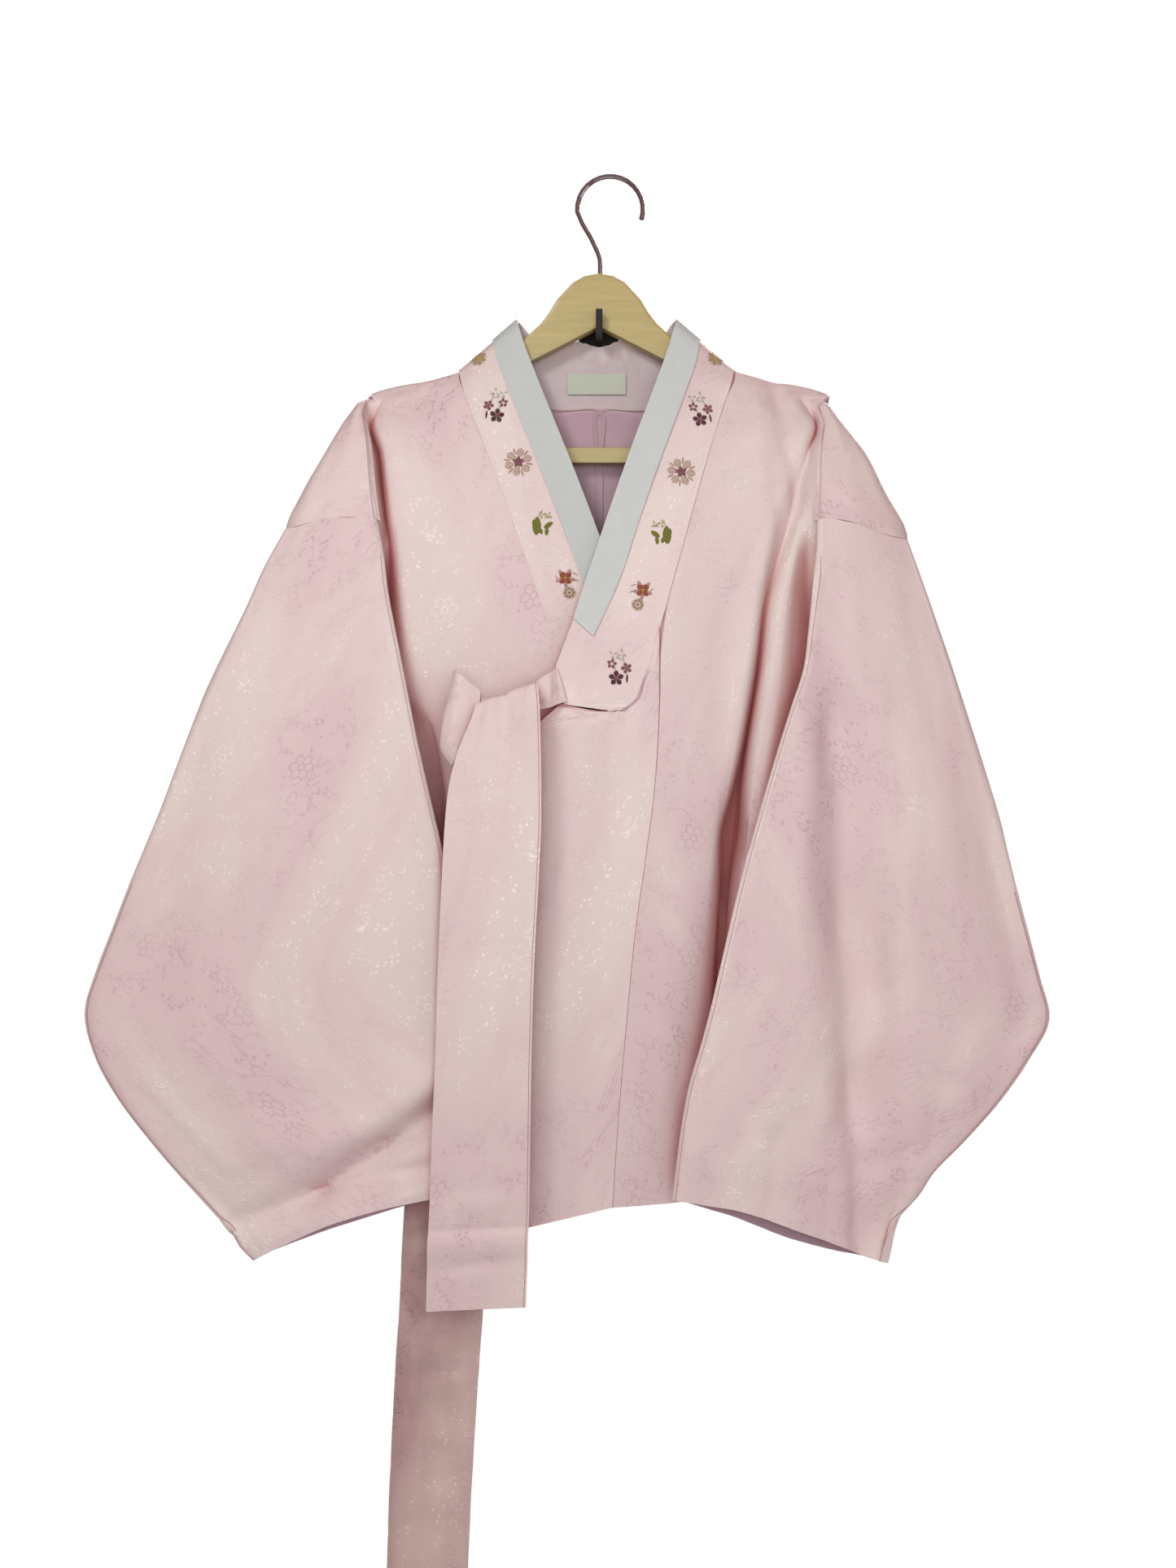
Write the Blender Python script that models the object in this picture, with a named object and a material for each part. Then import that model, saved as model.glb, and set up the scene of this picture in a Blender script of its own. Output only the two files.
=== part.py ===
# A jeogori, the short tied jacket of a hanbok, hanging on a flat wooden hanger from a wall hook.
# Sizes are in millimetres: x to the viewer's right, y into the wall, z up.
# The origin is the middle of the hook plate's back, where the wall holds everything up.
import math

import bmesh
import bpy
import numpy as np

MM = 0.001

# Walls and clearances
CLOTH = 1.5
BAND = 1.9
STRIP = 1.2
RIBBON = 1.6
SEAM = 0.45
EDGE_GAP = 1.5
ARMHOLE_GAP = 2.4
STAND_OFF = 0.5

# Hanger and hooks
BOARD_FRONT = -32.0
BOARD_BACK = -20.0
BOARD_EDGE = 2.5
BAR_HALF = 5.0
BAR_HALF_LENGTH = 128.7
BAR_TOP = -87.0
BAR_BOTTOM = -99.0
BAR_EDGE = 1.2
WIRE_R = 1.85
HOOK_R = 25.0
HOOK_X = 8.5
HOOK_Z = 95.0
HOOK_START = 184.0
HOOK_SWEEP = 202.0
HOOK_STEPS = 16
PLATE = (31.0, 4.0, 44.0)
PLATE_TOP = 36.0
PLATE_EDGE = 1.0
ARM_W = 5.0
ARM_TOP = 2.5
ARM_BOTTOM = -3.2
PEG_FRONT = -41.5
PEG_BACK = -36.5
PEG_TOP = 15.0
WIRE_STEM = [
    # x, z
    (1.0, 45.3), (1.0, 52), (0.8, 57), (-0.8, 62), (-6, 73), (-12.5, 84),
]

# Half of the board's outline, from the dome down to the tip and back to the apex
BOARD_OUTLINE = [
    # x, z
    (0, 45), (11, 43), (20, 38), (32, 25), (38, 15), (44, 7), (56, -4), (80, -20),
    (104, -33.5), (126, -40.5), (150, -45), (160, -48), (163, -53), (160, -62),
    (150, -84), (144, -95), (138, -99), (129, -99), (129, -87), (128, -64), (118, -56), (48, -20.5),
]
BOARD_APEX = (0, 4.2)

# The shoulder line that the cloth follows along the hanger's top, each side
SHOULDER = [
    # |x|, z
    (100, -30.0), (104, -31.5), (126, -38.0), (150, -42.0), (163, -45.0), (175, -49.0),
]
OVER_BOARD = [
    # y on the front, height over the shoulder line
    (-26.0 - SEAM / 2, 1.0), (-31.2, 0.6), (-34.2, -4.0),
]

# Top fold of each sleeve, seen as the inner front crease
CREASE = {
    "left": [
        # z, x, y
        (-47, -173, -32), (-63, -178, -46), (-90, -173, -57), (-124, -169, -65), (-148, -165, -70),
        (-170, -160, -73), (-209, -155, -76), (-260, -145, -79), (-308, -135, -82), (-357, -124, -85),
        (-388, -116, -86), (-453, -111, -87), (-512, -107, -88), (-577, -103, -88), (-638, -99, -88),
        (-700, -95, -88),
    ],
    "right": [
        (-47, 164, -32), (-74, 169, -48), (-95, 165, -58), (-126, 163, -66), (-148, 162, -70),
        (-164, 162, -73), (-216, 156, -76), (-257, 151, -79), (-303, 136, -82), (-346, 123, -84),
        (-390, 110, -86), (-435, 98, -87), (-479, 88, -88), (-519, 79, -88), (-561, 67, -88),
        (-593, 61, -88), (-644, 54, -88), (-700, 46, -88),
    ],
}

# Outer edge: a soft fold at the shoulder, then the curved underarm seam below the corner
OUTER = {
    "left": [
        # z, x, y
        (-47, -175, -34), (-75, -193, -46), (-97, -205, -51), (-127, -222, -54), (-149, -230, -56),
        (-171, -244, -58), (-214, -262, -60), (-274, -289, -62), (-359, -321, -65), (-430, -351, -67),
        (-493, -374, -69), (-514, -377, -71), (-538, -370, -73), (-570, -352, -75), (-607, -324, -77),
        (-640, -296, -78), (-664, -273, -79), (-689, -251, -80),
    ],
    "right": [
        (-47, 166, -34), (-74, 182, -46), (-94, 197, -51), (-127, 213, -54), (-153, 225, -56),
        (-168, 231, -58), (-256, 260, -62), (-365, 293, -66), (-433, 309, -68), (-485, 322, -70),
        (-515, 329, -71), (-525, 326, -72), (-548, 312, -74), (-578, 291, -75), (-602, 268, -77),
        (-622, 247, -78), (-637, 232, -79), (-652, 220, -79), (-667, 213, -80), (-692, 207, -80),
    ],
}

# Armhole seam. The share is the way across the sleeve, 0 at the crease and 1 at the outer edge.
ARMHOLE_FRONT = {
    "left": [
        # share, x, y, z
        (0.00, -165, -69, -148), (0.10, -170, -61, -168), (0.22, -181, -50, -208),
        (0.35, -195, -39, -252), (0.47, -212, -27, -298),
    ],
    "right": [
        (0.00, 162, -69, -148), (0.10, 166, -61, -168), (0.22, 176, -50, -208),
        (0.35, 189, -39, -252), (0.47, 205, -27, -298),
    ],
}
ARMHOLE_BACK = {
    "left": [
        (0.47, -212, -27, -298), (0.60, -227, -24, -262), (0.75, -237, -27, -222),
        (0.88, -240, -36, -186), (1.00, -231, -52, -154),
    ],
    "right": [
        (0.47, 205, -27, -298), (0.60, 221, -24, -262), (0.75, 231, -27, -226),
        (0.88, 235, -36, -192), (1.00, 226, -52, -162),
    ],
}
ARMHOLE_TOP = {
    "left": [
        # share, z of the seam where it shows
        (0.0, -148), (0.17, -147), (0.47, -146.5), (0.69, -148.5), (1.0, -154),
    ],
    "right": [
        (0.0, -148), (0.17, -148), (0.47, -151.5), (0.69, -157.5), (1.0, -162),
    ],
}
CUFF = {
    "left": [
        # share, z
        (0.0, -638), (0.3, -650), (0.55, -662), (1.0, -689),
    ],
    "right": [
        (0.0, -644), (0.3, -652), (0.6, -668), (1.0, -692),
    ],
}

# How far the hidden layer of a sleeve lies behind the one that shows
SLEEVE_DEPTH = [
    # z, depth
    (-700, 15), (-560, 18), (-480, 22), (-400, 32), (-298, 48), (-148, 52),
]
UNDERARM_SHARE = 0.47
FOLD_R = 2.1
SLEEVE_SWELL = 3.0
SLEEVE_ROWS = 19
SLEEVE_SHARES = [0.015, 0.08, 0.17, 0.27, 0.37, UNDERARM_SHARE, 0.58, 0.69, 0.79, 0.88, 0.95, 0.987]
EDGE_SHARE = 0.04
ROUND_POWER = 2.6
ROUND_FROM = -298
ROUND_FULL = -480
ARMHOLE_FADE = 0.4

# Large soft folds of the sleeves: a trough where the depth is positive
SLEEVE_FOLDS = {
    "left": [
        # x and z of one end, x and z of the other, half width, depth
        (-270, -668, -125, -600, 11, 6.0), (-285, -640, -130, -560, 12, -3.0),
        (-200, -190, -215, -330, 22, 2.5), (-300, -330, -330, -480, 16, 3.0),
    ],
    "right": [
        (178, -300, 196, -480, 20, 7.0), (196, -480, 205, -650, 15, 6.0),
        (150, -330, 128, -560, 18, -4.0), (243, -330, 262, -560, 20, -4.0),
        (290, -400, 312, -500, 12, 4.0),
    ],
}

# Front panels: the seam with the collar and then with the overlap, and the folds beside the sleeve
FRONT_SEAM = {
    "left": [
        # z, x, y
        (-31, -106, -34), (-57, -97.8, -43.5), (-101, -80.8, -50.8), (-139, -66.8, -54.6),
        (-179, -52.8, -57.2), (-219, -39.1, -59), (-257, -26, -60), (-290, -14, -60), (-668, -10, -62),
    ],
    "right": [
        (-31, 102, -34), (-58, 93.4, -43), (-106, 78.4, -54.5), (-156, 64.4, -62), (-205, 51, -67),
        (-226, 45, -68.6), (-287, 44, -70), (-341, 41, -71), (-364, 38, -71), (-460, 25, -71), (-579, 14, -71), (-660, 9, -71),
    ],
}
FRONT_FOLDS = {
    "left": [
        # z, swell x, y, roll x, y, valley x, y, ridge x, y, tuck x, y
        (-52, -128, -38, -155, -38, -163, -36, -168, -35, -171, -34),
        (-62, -128, -43, -162, -41, -168, -35, -173, -37, -176, -41),
        (-72, -126, -47, -165, -45, -171, -36, -174, -41, -176, -46),
        (-95, -124, -52, -160, -51, -165, -37, -169, -48, -171, -54),
        (-122, -122, -56, -157, -54, -162, -42, -166, -56, -168, -61),
        (-147, -121, -58, -154, -56, -159, -48, -162, -56, -164, -63),
        (-172, -120, -58, -149, -57, -157, -50, -162, -50, -167, -53),
        (-208, -118, -58, -147, -57, -157, -49, -164, -45, -172, -44),
        (-245, -116, -58, -146, -57, -158, -49, -167, -42, -180, -37),
        (-272, -115, -57, -146, -56, -159, -48, -170, -39, -187, -32),
        (-300, -112, -56, -128, -51, -156, -47, -176, -36, -194, -29),
        (-352, -104, -56, -120, -40, -158, -48, -188, -36, -204, -29),
        (-395, -104, -56, -120, -42, -158, -48, -192, -35, -208, -28),
        (-455, -104, -57, -124, -50, -160, -48, -196, -34, -211, -27),
        (-530, -104, -58, -128, -53, -163, -48, -199, -33, -214, -26),
        (-600, -104, -58, -130, -54, -166, -48, -201, -32, -216, -26),
        (-664, -104, -58, -132, -54, -168, -48, -202, -32, -217, -26),
    ],
    "right": [
        (-52, 128, -38, 144, -39, 153, -36, 159, -35, 162, -34),
        (-62, 128, -43, 152, -42, 158, -36, 162, -37, 165, -40),
        (-72, 126, -47, 158, -46, 162, -38, 165, -42, 167, -46),
        (-95, 120, -53, 148, -52, 156, -48, 160, -52, 163, -56),
        (-122, 112, -57, 138, -55, 148, -50, 156, -57, 160, -62),
        (-147, 106, -60, 130, -58, 142, -51, 150, -59, 157, -62),
        (-172, 100, -62, 124, -59, 134, -50, 144, -58, 156, -52),
        (-208, 92, -64, 116, -61, 123, -49, 136, -59, 158, -46),
        (-245, 86, -65, 112, -62, 119, -47, 131, -59, 165, -42),
        (-272, 84, -66, 109, -62, 116, -45, 127, -60, 176, -33),
        (-300, 80, -67, 105, -62, 112, -41, 122, -60, 182, -26),
        (-352, 74, -67, 97, -62, 104, -35, 114, -60, 186, -26),
        (-395, 70, -67, 92, -61, 98, -33, 108, -60, 188, -26),
        (-455, 62, -68, 88, -60, 93, -35, 102, -60, 190, -26),
        (-530, 56, -68, 84, -60, 91, -46, 102, -58, 193, -26),
        (-600, 52, -68, 80, -61, 92, -52, 106, -56, 196, -26),
        (-654, 50, -68, 78, -62, 94, -53, 110, -55, 198, -26),
    ],
}
SIDE_SEAM = {
    "left": [
        # z, x, y
        (-298, -212, -27), (-352, -216, -25), (-455, -222, -23), (-600, -228, -22), (-642, -229, -22),
    ],
    "right": [
        (-298, 205, -27), (-352, 209, -25), (-455, 215, -23), (-600, 221, -22), (-640, 222, -22),
    ],
}
HEM_RISE = 24.0
HEM_CURVE = 1.4
FRONT_STEPS = [3, 3, 2, 2, 2, 2]
TOP_X = [128, 148, 158, 165, 169, 172]

# Back panels
BACK_FLAT_X = 160.0
BACK_FLAT_Y = -16.8
BACK_FLAT_COLUMNS = 7
BACK_RING_COLUMNS = 4
ARMHOLE_LEVEL = -148
OVER_BOARD_BACK = [
    # y, height over the shoulder line
    (-26.0 + SEAM / 2, 1.0), (-20.8, 0.6), (-17.8, -4.0),
]
BACK_TOP_X = [112, 122, 132, 142, 152, 160, 163, 165.5, 168, 170, 171, 172, 173, 174, 175]
NECK_X = {"left": 106.0, "right": 102.5}
BACK_ROWS = [
    # x, y, z of the row's start, along the neck and then down the middle; level of its outer part
    (96.3, -17.2, -38.4, -57), (84.8, -16.7, -47.0, -64), (60.3, -15.8, -54.6, -72), (32, -15.3, -56.6, -84),
    (0.4, -15.1, -58.3, -96), (0.4, -15.6, -90, -122), (0.4, -15.8, -130, -148),
    (0.4, -15.6, -165, -175), (0.4, -15.4, -205, -208), (0.4, -15, -245, -245), (0.4, -15, -298, -298),
    (0.4, -15, -352, -352), (0.4, -15, -410, -410), (0.4, -15, -470, -470), (0.4, -15, -530, -530),
    (0.4, -15, -600, -600), (0.4, -15, -662, -662),
]
NECK_SHIFT_FROM = 60.0
NECK_SHIFT_OVER = 42.0
BACK_RING = [
    # share of the way from the flat part to the outer fold, share of the depth
    (0.4, 0.04), (0.75, 0.16), (0.95, 0.5),
]
WRAP_SHARES = [0.95, 0.69, 0.47, 0.17, 0.015]
WAVES_FROM = -150.0
WAVES_OVER = 480.0
BACK_WAVES = [
    # |x| of the crest, half width, depth at the hem
    (52, 20, 5.0), (108, 20, 7.0), (150, 14, 6.0),
]

# Overlaps sewn to the front edges
OUTER_OVERLAP_TOP_Y = -70.8
OUTER_OVERLAP_Y = -71.0
INNER_OVERLAP_COLUMNS = 4
OUTER_OVERLAP_TOP = [
    # x, z along the collar's lower edge, from the seam to the free edge
    (44, -228), (36.2, -257), (30, -272), (22, -284), (11, -290), (-8, -289), (-31, -287.5),
]
OUTER_OVERLAP_EDGE = [
    # z, x of the free edge
    (-287, -31), (-300, -46), (-480, -60), (-674, -75),
]
INNER_OVERLAP_EDGE = [
    # z, x
    (-292, 46), (-480, 54), (-668, 62),
]

# Collar band, from its square end up the viewer's right side
COLLAR_RIGHT = [
    # neck x, y, z, seam x, y, z
    (-26, -71.0, -285.5, 11.5, -71.0, -288.5),
    (-29, -71.0, -277, 21.5, -71.0, -282.5),
    (-32, -71.0, -259, 30, -70.8, -269),
    (-28, -70.6, -245, 36, -70.0, -251),
    (-19, -69.8, -221, 43.3, -68.5, -226),
    (-9, -67.5, -190, 49.5, -66.5, -205),
    (9, -62.5, -136, 63, -61.5, -156),
    (26, -55.5, -87, 77, -54.0, -106),
    (44, -45.5, -38, 92, -42.5, -58),
    (53, -37.5, -11, 99.3, -35.5, -35.5),
    (57, -32.0, 4, 100.6, -31.2, -29.0),
    (58, -26.0, 9, 101, -26.0, -27.6),
    (55, -20.2, 7.5, 100.2, -19.6, -28.6),
    (50, -17.2, 1.5, 95, -17.0, -37.0),
    (42, -16.2, -3, 84, -16.6, -45.5),
    (24, -14.8, -6.3, 60, -15.7, -53),
    (0, -14.2, -7.5, 0, -15.0, -56.8),
]
COLLAR_LEFT = [
    (-24, -14.8, -6.3, -60, -15.7, -53),
    (-44, -16.2, -3, -86, -16.6, -45.5),
    (-53, -17.2, 1.5, -98, -17.0, -37.0),
    (-59, -20.2, 7.5, -103.6, -19.6, -28.8),
    (-62, -26.0, 9, -104.5, -26.0, -27.8),
    (-61, -32.0, 4, -104.4, -31.2, -29.3),
    (-57, -37.0, -10, -103.2, -35.5, -35.5),
    (-48, -43.5, -35, -96.5, -43.5, -57),
    (-31, -50.0, -78, -79.5, -50.8, -101),
    (-15, -54.5, -119, -65.5, -54.6, -139),
    (0, -57.5, -159, -51.5, -57.2, -179),
    (15, -59.5, -199, -37.8, -59.0, -219),
    (27, -60.5, -232, -24.6, -60.0, -257),
]
COLLAR_SHARES = [0, 0.42, 0.75, 1]
STRIP_WIDTH = 23.0
STRIP_OVER_EDGE = 0.4
STRIP_END = (-4.5, -70.2, -234)
STRIP_FROM_ROW = 4

# Ties and the bow
SHORT_TIE = [
    # left x, y, z, right x, y, z
    (-88, -92.4, -289, -46, -92.0, -274),
    (-88.5, -95.2, -285, -45, -94.6, -269.5),
    (-93, -98.6, -297, -43.5, -98.0, -282),
    (-101, -100.5, -317, -42.5, -99.5, -310),
    (-108, -101, -343, -42, -100, -343),
    (-111, -101, -370, -42, -100, -370),
    (-113, -101, -405, -43.5, -100, -405),
    (-116, -101, -472, -47, -100.5, -472),
    (-118, -101, -540, -49, -101, -540),
    (-121, -101, -610, -50, -101, -610),
    (-122.5, -101, -655, -50.8, -101, -655),
    (-123.5, -103, -672, -51.5, -102.5, -669),
    (-124, -101, -695, -52, -100.5, -692),
    (-124.5, -101.5, -721, -53, -101, -718),
]
LONG_TIE = [
    (-83, -84.0, -300.6, -62, -84.0, -300.6),
    (-90, -80, -322, -59, -81, -322),
    (-103, -74, -360, -58, -79, -360),
    (-113, -68, -400, -58.5, -77.5, -400),
    (-121, -66, -450, -62, -76.5, -450),
    (-131, -64.5, -530, -71, -75.5, -530),
    (-139, -64, -600, -79, -72.5, -600),
    (-144, -63.5, -654, -83.5, -69, -658),
    (-146, -64.5, -690, -85, -70, -697),
    (-147.5, -63, -723, -86, -66.5, -732),
    (-150, -66, -765, -88.5, -70, -768),
    (-152.5, -63, -808, -91, -67, -806),
    (-155, -66.5, -868, -94.5, -69, -868),
    (-157, -64, -923, -97, -67.5, -923),
    (-158.5, -66, -972, -99, -69, -972),
]
TIE_ROOT = [
    # upper x, y, z, lower x, y, z
    (-31, -73.2, -257, -22, -73.4, -286),
    (-35, -75.5, -261, -29, -76.0, -289),
    (-41, -79.0, -266, -38, -80.0, -294),
    (-50, -82.5, -271, -49, -83.5, -297),
    (-59.4, -84.0, -274, -59.4, -85.0, -297),
]
KNOT = (-86.0, -60.0, -90.8, -80.5, -300.0, -273.0)
LOOP_TIP = [
    # share across, x, z of the fold at the loop's tip
    (0.0, -105, -260), (0.3, -110, -281), (0.6, -114.5, -303), (0.82, -115, -317), (1.0, -107, -330),
]
LOOP_ROOT_X = -86.5
LOOP_ROOT_Z = (-275.0, -298.0)
LOOP_FRONT_Y = -90.0
LOOP_BACK_Y = -84.5
LOOP_TURNS = [
    # share of the way to the tip, y
    (0.0, LOOP_FRONT_Y), (0.4, LOOP_FRONT_Y - 1.5), (0.9, LOOP_FRONT_Y - 1.0),
    (1.0, (LOOP_FRONT_Y + LOOP_BACK_Y) / 2), (0.9, LOOP_BACK_Y), (0.4, LOOP_BACK_Y), (0.0, LOOP_BACK_Y),
]
KNOT_EDGE = 3.0
ROOT_SAG = 1.0

LABEL = (-24.0, 20.5, -17.6, -16.9, -44.0, -28.0)

COLOURS = {
    # name: red, green, blue, roughness, metallic
    "silk": (0.83, 0.62, 0.62, 0.42, 0.0),
    "lining": (0.60, 0.42, 0.50, 0.55, 0.0),
    "strip": (0.78, 0.87, 0.83, 0.7, 0.0),
    "label": (0.62, 0.68, 0.56, 0.8, 0.0),
    "wood": (0.52, 0.43, 0.20, 0.5, 0.0),
    "chrome": (0.62, 0.63, 0.64, 0.22, 1.0),
    "black": (0.015, 0.015, 0.017, 0.4, 0.0),
}


def clear_scene():
    for item in list(bpy.data.objects):
        bpy.data.objects.remove(item, do_unlink=True)


def material(name):
    found = bpy.data.materials.get(name)
    if found:
        return found
    made = bpy.data.materials.new(name)
    made.use_nodes = True
    red, green, blue, rough, metal = COLOURS[name]
    shader = made.node_tree.nodes["Principled BSDF"]
    shader.inputs["Base Color"].default_value = (red, green, blue, 1.0)
    shader.inputs["Roughness"].default_value = rough
    shader.inputs["Metallic"].default_value = metal
    return made


def add_mesh(name, points, faces, finish, smooth=True):
    mesh = bpy.data.meshes.new(name)
    mesh.from_pydata([[c * MM for c in p] for p in points], [], faces)
    work = bmesh.new()
    work.from_mesh(mesh)
    bmesh.ops.recalc_face_normals(work, faces=work.faces)
    work.to_mesh(mesh)
    work.free()
    if smooth:
        mesh.shade_smooth()
        mesh.set_sharp_from_angle(angle=math.radians(40))
    item = bpy.data.objects.new(name, mesh)
    item.data.materials.append(material(finish))
    bpy.context.scene.collection.objects.link(item)
    return item


def grid_normals(grid, closed):
    """Unit normals of a grid of points, rows first: towards the viewer for rows down and columns right."""
    down = np.gradient(grid, axis=0)
    if closed:
        across = np.roll(grid, -1, axis=1) - np.roll(grid, 1, axis=1)
    else:
        across = np.gradient(grid, axis=1)
    normal = np.cross(down, across)
    return normal / np.linalg.norm(normal, axis=2, keepdims=True)


def wall(name, grid, thickness, finish, closed=False, missing=()):
    """A solid wall on a grid of points. missing lists cells (row, column) that are left out."""
    grid = np.array(grid, float)
    rows, columns = grid.shape[:2]
    normal = grid_normals(grid, closed)
    sides = [grid + normal * thickness / 2, grid - normal * thickness / 2]
    points = np.concatenate([side.reshape(-1, 3) for side in sides])
    half = rows * columns
    last = columns if closed else columns - 1
    cells = [(i, j) for i in range(rows - 1) for j in range(last) if (i, j) not in missing]
    faces = []
    edges = {}
    for i, j in cells:
        k = (j + 1) % columns
        loop = [i * columns + j, (i + 1) * columns + j, (i + 1) * columns + k, i * columns + k]
        faces.append(loop)
        faces.append([half + v for v in reversed(loop)])
        for a, b in zip(loop, loop[1:] + loop[:1]):
            edges[(a, b)] = True
    for a, b in edges:
        if (b, a) not in edges:
            faces.append([b, a, half + a, half + b])
    used = sorted({v for face in faces for v in face})
    index = {v: n for n, v in enumerate(used)}
    return add_mesh(name, points[used], [[index[v] for v in face] for face in faces], finish)


def at(table, value, column=1):
    """Reads one column of a table at a value of its first column, with straight lines between its rows."""
    rows = sorted(table)
    return float(np.interp(value, [r[0] for r in rows], [r[column] for r in rows]))


def smooth_line(points, steps):
    """Points on a smooth curve through the given ones: steps[i] intervals in stretch i."""
    p = np.array(points, float)
    p = np.vstack([2 * p[0] - p[1], p, 2 * p[-1] - p[-2]])
    line = []
    for i, count in enumerate(steps):
        a, b, c, d = p[i:i + 4]
        for k in range(count):
            t = k / count
            line.append(0.5 * (2 * b + (c - a) * t + (2 * a - 5 * b + 4 * c - d) * t * t
                               + (3 * b - a - 3 * c + d) * t ** 3))
    line.append(p[-2])
    return line


def step_towards(point, other, distance):
    point, other = np.array(point, float), np.array(other, float)
    way = other - point
    return point + way / np.linalg.norm(way) * distance


def fold_depth(folds, x, z):
    """Depth of the soft folds at a place: each is a straight trough or ridge with faded ends."""
    total = 0.0
    for x0, z0, x1, z1, half_width, depth in folds:
        run = math.hypot(x1 - x0, z1 - z0)
        ux, uz = (x1 - x0) / run, (z1 - z0) / run
        along = ((x - x0) * ux + (z - z0) * uz) / run
        off = (x - x0) * uz - (z - z0) * ux
        past = max(0.0, -along, along - 1.0) * run
        total += depth * math.exp(-(off / half_width) ** 2 - (past / (2.0 * half_width)) ** 2)
    return total


def shoulder_height(x):
    return at(SHOULDER, abs(x))


def bump(share, z):
    """Shape of the hidden layer across a sleeve: peaked at the underarm, rounder further down."""
    if share < UNDERARM_SHARE:
        peak = share / UNDERARM_SHARE
    else:
        peak = (1.0 - share) / (1.0 - UNDERARM_SHARE)
    round_shape = 1.0 - abs(2.0 * share - 1.0) ** ROUND_POWER
    blend = float(np.interp(z, [ROUND_FULL, ROUND_FROM], [1.0, 0.0]))
    return peak * (1 - blend) + round_shape * blend


def sleeve_point(side, share, hidden, z):
    """A point of the sleeve's middle surface, share of the way from the crease to the outer edge."""
    inner = np.array([at(CREASE[side], z, 1), at(CREASE[side], z, 2)])
    outer = np.array([at(OUTER[side], z, 1), at(OUTER[side], z, 2)])
    x, y = inner + (outer - inner) * share
    ends = min(1.0, share / EDGE_SHARE, (1.0 - share) / EDGE_SHARE)
    if hidden:
        y += FOLD_R + at(SLEEVE_DEPTH, z) * bump(share, z)
    else:
        y += fold_depth(SLEEVE_FOLDS[side], x, z) * ends - FOLD_R - SLEEVE_SWELL * math.sin(math.pi * share)
    return np.array([x, y, z])


def armhole(side, share, hidden):
    """A point of the armhole ring at a share of the way across the sleeve."""
    if not hidden:
        z = at(ARMHOLE_TOP[side], share)
        return sleeve_point(side, share, False, z)
    table = ARMHOLE_FRONT[side] if share < UNDERARM_SHARE else ARMHOLE_BACK[side]
    return np.array([at(table, share, column) for column in (1, 2, 3)])


def sleeve(side):
    places = [(s, False) for s in SLEEVE_SHARES] + [(1.0, None)]
    places += [(s, True) for s in reversed(SLEEVE_SHARES)] + [(0.0, None)]
    if side == "left":
        places.reverse()
    grid = []
    for row in range(SLEEVE_ROWS):
        t = row / (SLEEVE_ROWS - 1)
        line = []
        for share, hidden in places:
            if hidden is None:
                front = tube_point(side, share, False, t)
                back = tube_point(side, share, True, t)
                tip = (front + back) / 2
                tip[0] += (FOLD_R if share > 0.5 else -FOLD_R) * (1 if side == "right" else -1) * 0.5
                line.append(tip)
            else:
                line.append(tube_point(side, share, hidden, t))
        grid.append(line)
    return wall(f"sleeve_{side}", grid, CLOTH, "silk", closed=True)


def tube_point(side, share, hidden, t):
    top = armhole(side, share, hidden)
    bottom = at(CUFF[side], share)
    z = top[2] + (bottom - top[2]) * t
    fade = max(0.0, 1.0 - t / ARMHOLE_FADE) ** 2
    miss = top - sleeve_point(side, share, hidden, top[2])
    miss[2] = 0.0
    point = sleeve_point(side, share, hidden, z) + miss * fade
    if t == 0.0:
        point[2] -= SEAM
    return point


def front_edge(side, z):
    """Outer edge of a front panel: the crease, then the armhole seam, then the side seam."""
    top = ARMHOLE_FRONT[side][0][3]
    underarm = ARMHOLE_FRONT[side][-1][3]
    if z >= top:
        return np.array([at(CREASE[side], z, 1), at(CREASE[side], z, 2), z])
    if z >= underarm:
        table = [(r[3], r[1], r[2]) for r in ARMHOLE_FRONT[side]]
        return np.array([at(table, z, 1), at(table, z, 2), z])
    return np.array([at(SIDE_SEAM[side], z, 1), at(SIDE_SEAM[side], z, 2), z])


def front_panel(side):
    sign = 1 if side == "right" else -1
    grid = []
    for y, lift in OVER_BOARD:
        line = [[sign * x, y, shoulder_height(x) + lift] for x in [NECK_X[side]] + TOP_X]
        grid.append(smooth_line(line, FRONT_STEPS))
    hem = FRONT_FOLDS[side][-1][0]
    for z, *folds in FRONT_FOLDS[side]:
        seam = [at(FRONT_SEAM[side], z, 1), at(FRONT_SEAM[side], z, 2), z]
        named = [seam] + [[folds[i], folds[i + 1], z] for i in range(0, len(folds), 2)]
        named.append(front_edge(side, z))
        if z == hem:
            named = [[x, y, height + hem_rise(side, x)] for x, y, height in named]
        on_armhole = ARMHOLE_FRONT[side][-1][3] - 4 <= z < ARMHOLE_FRONT[side][0][3]
        named[-1] = step_towards(named[-1], named[-2], ARMHOLE_GAP if on_armhole else EDGE_GAP)
        grid.append(smooth_line(named, FRONT_STEPS))
    if side == "left":
        grid = [line[::-1] for line in grid]
    return wall(f"front_{side}", grid, CLOTH, "silk")


def hem_rise(side, x):
    """The hem climbs gently from the middle to the side seam."""
    reach = abs(SIDE_SEAM[side][-1][1])
    start = abs(FRONT_SEAM[side][-1][1])
    share = min(1.0, max(0.0, (abs(x) - start) / (reach - start)))
    return HEM_RISE * share ** HEM_CURVE


def back_wave(x, z):
    depth = 0.0
    strength = min(1.0, max(0.0, (WAVES_FROM - z) / WAVES_OVER))
    for crest, half_width, full in BACK_WAVES:
        depth += full * strength * math.exp(-((abs(x) - crest) / half_width) ** 2)
    return depth


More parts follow.
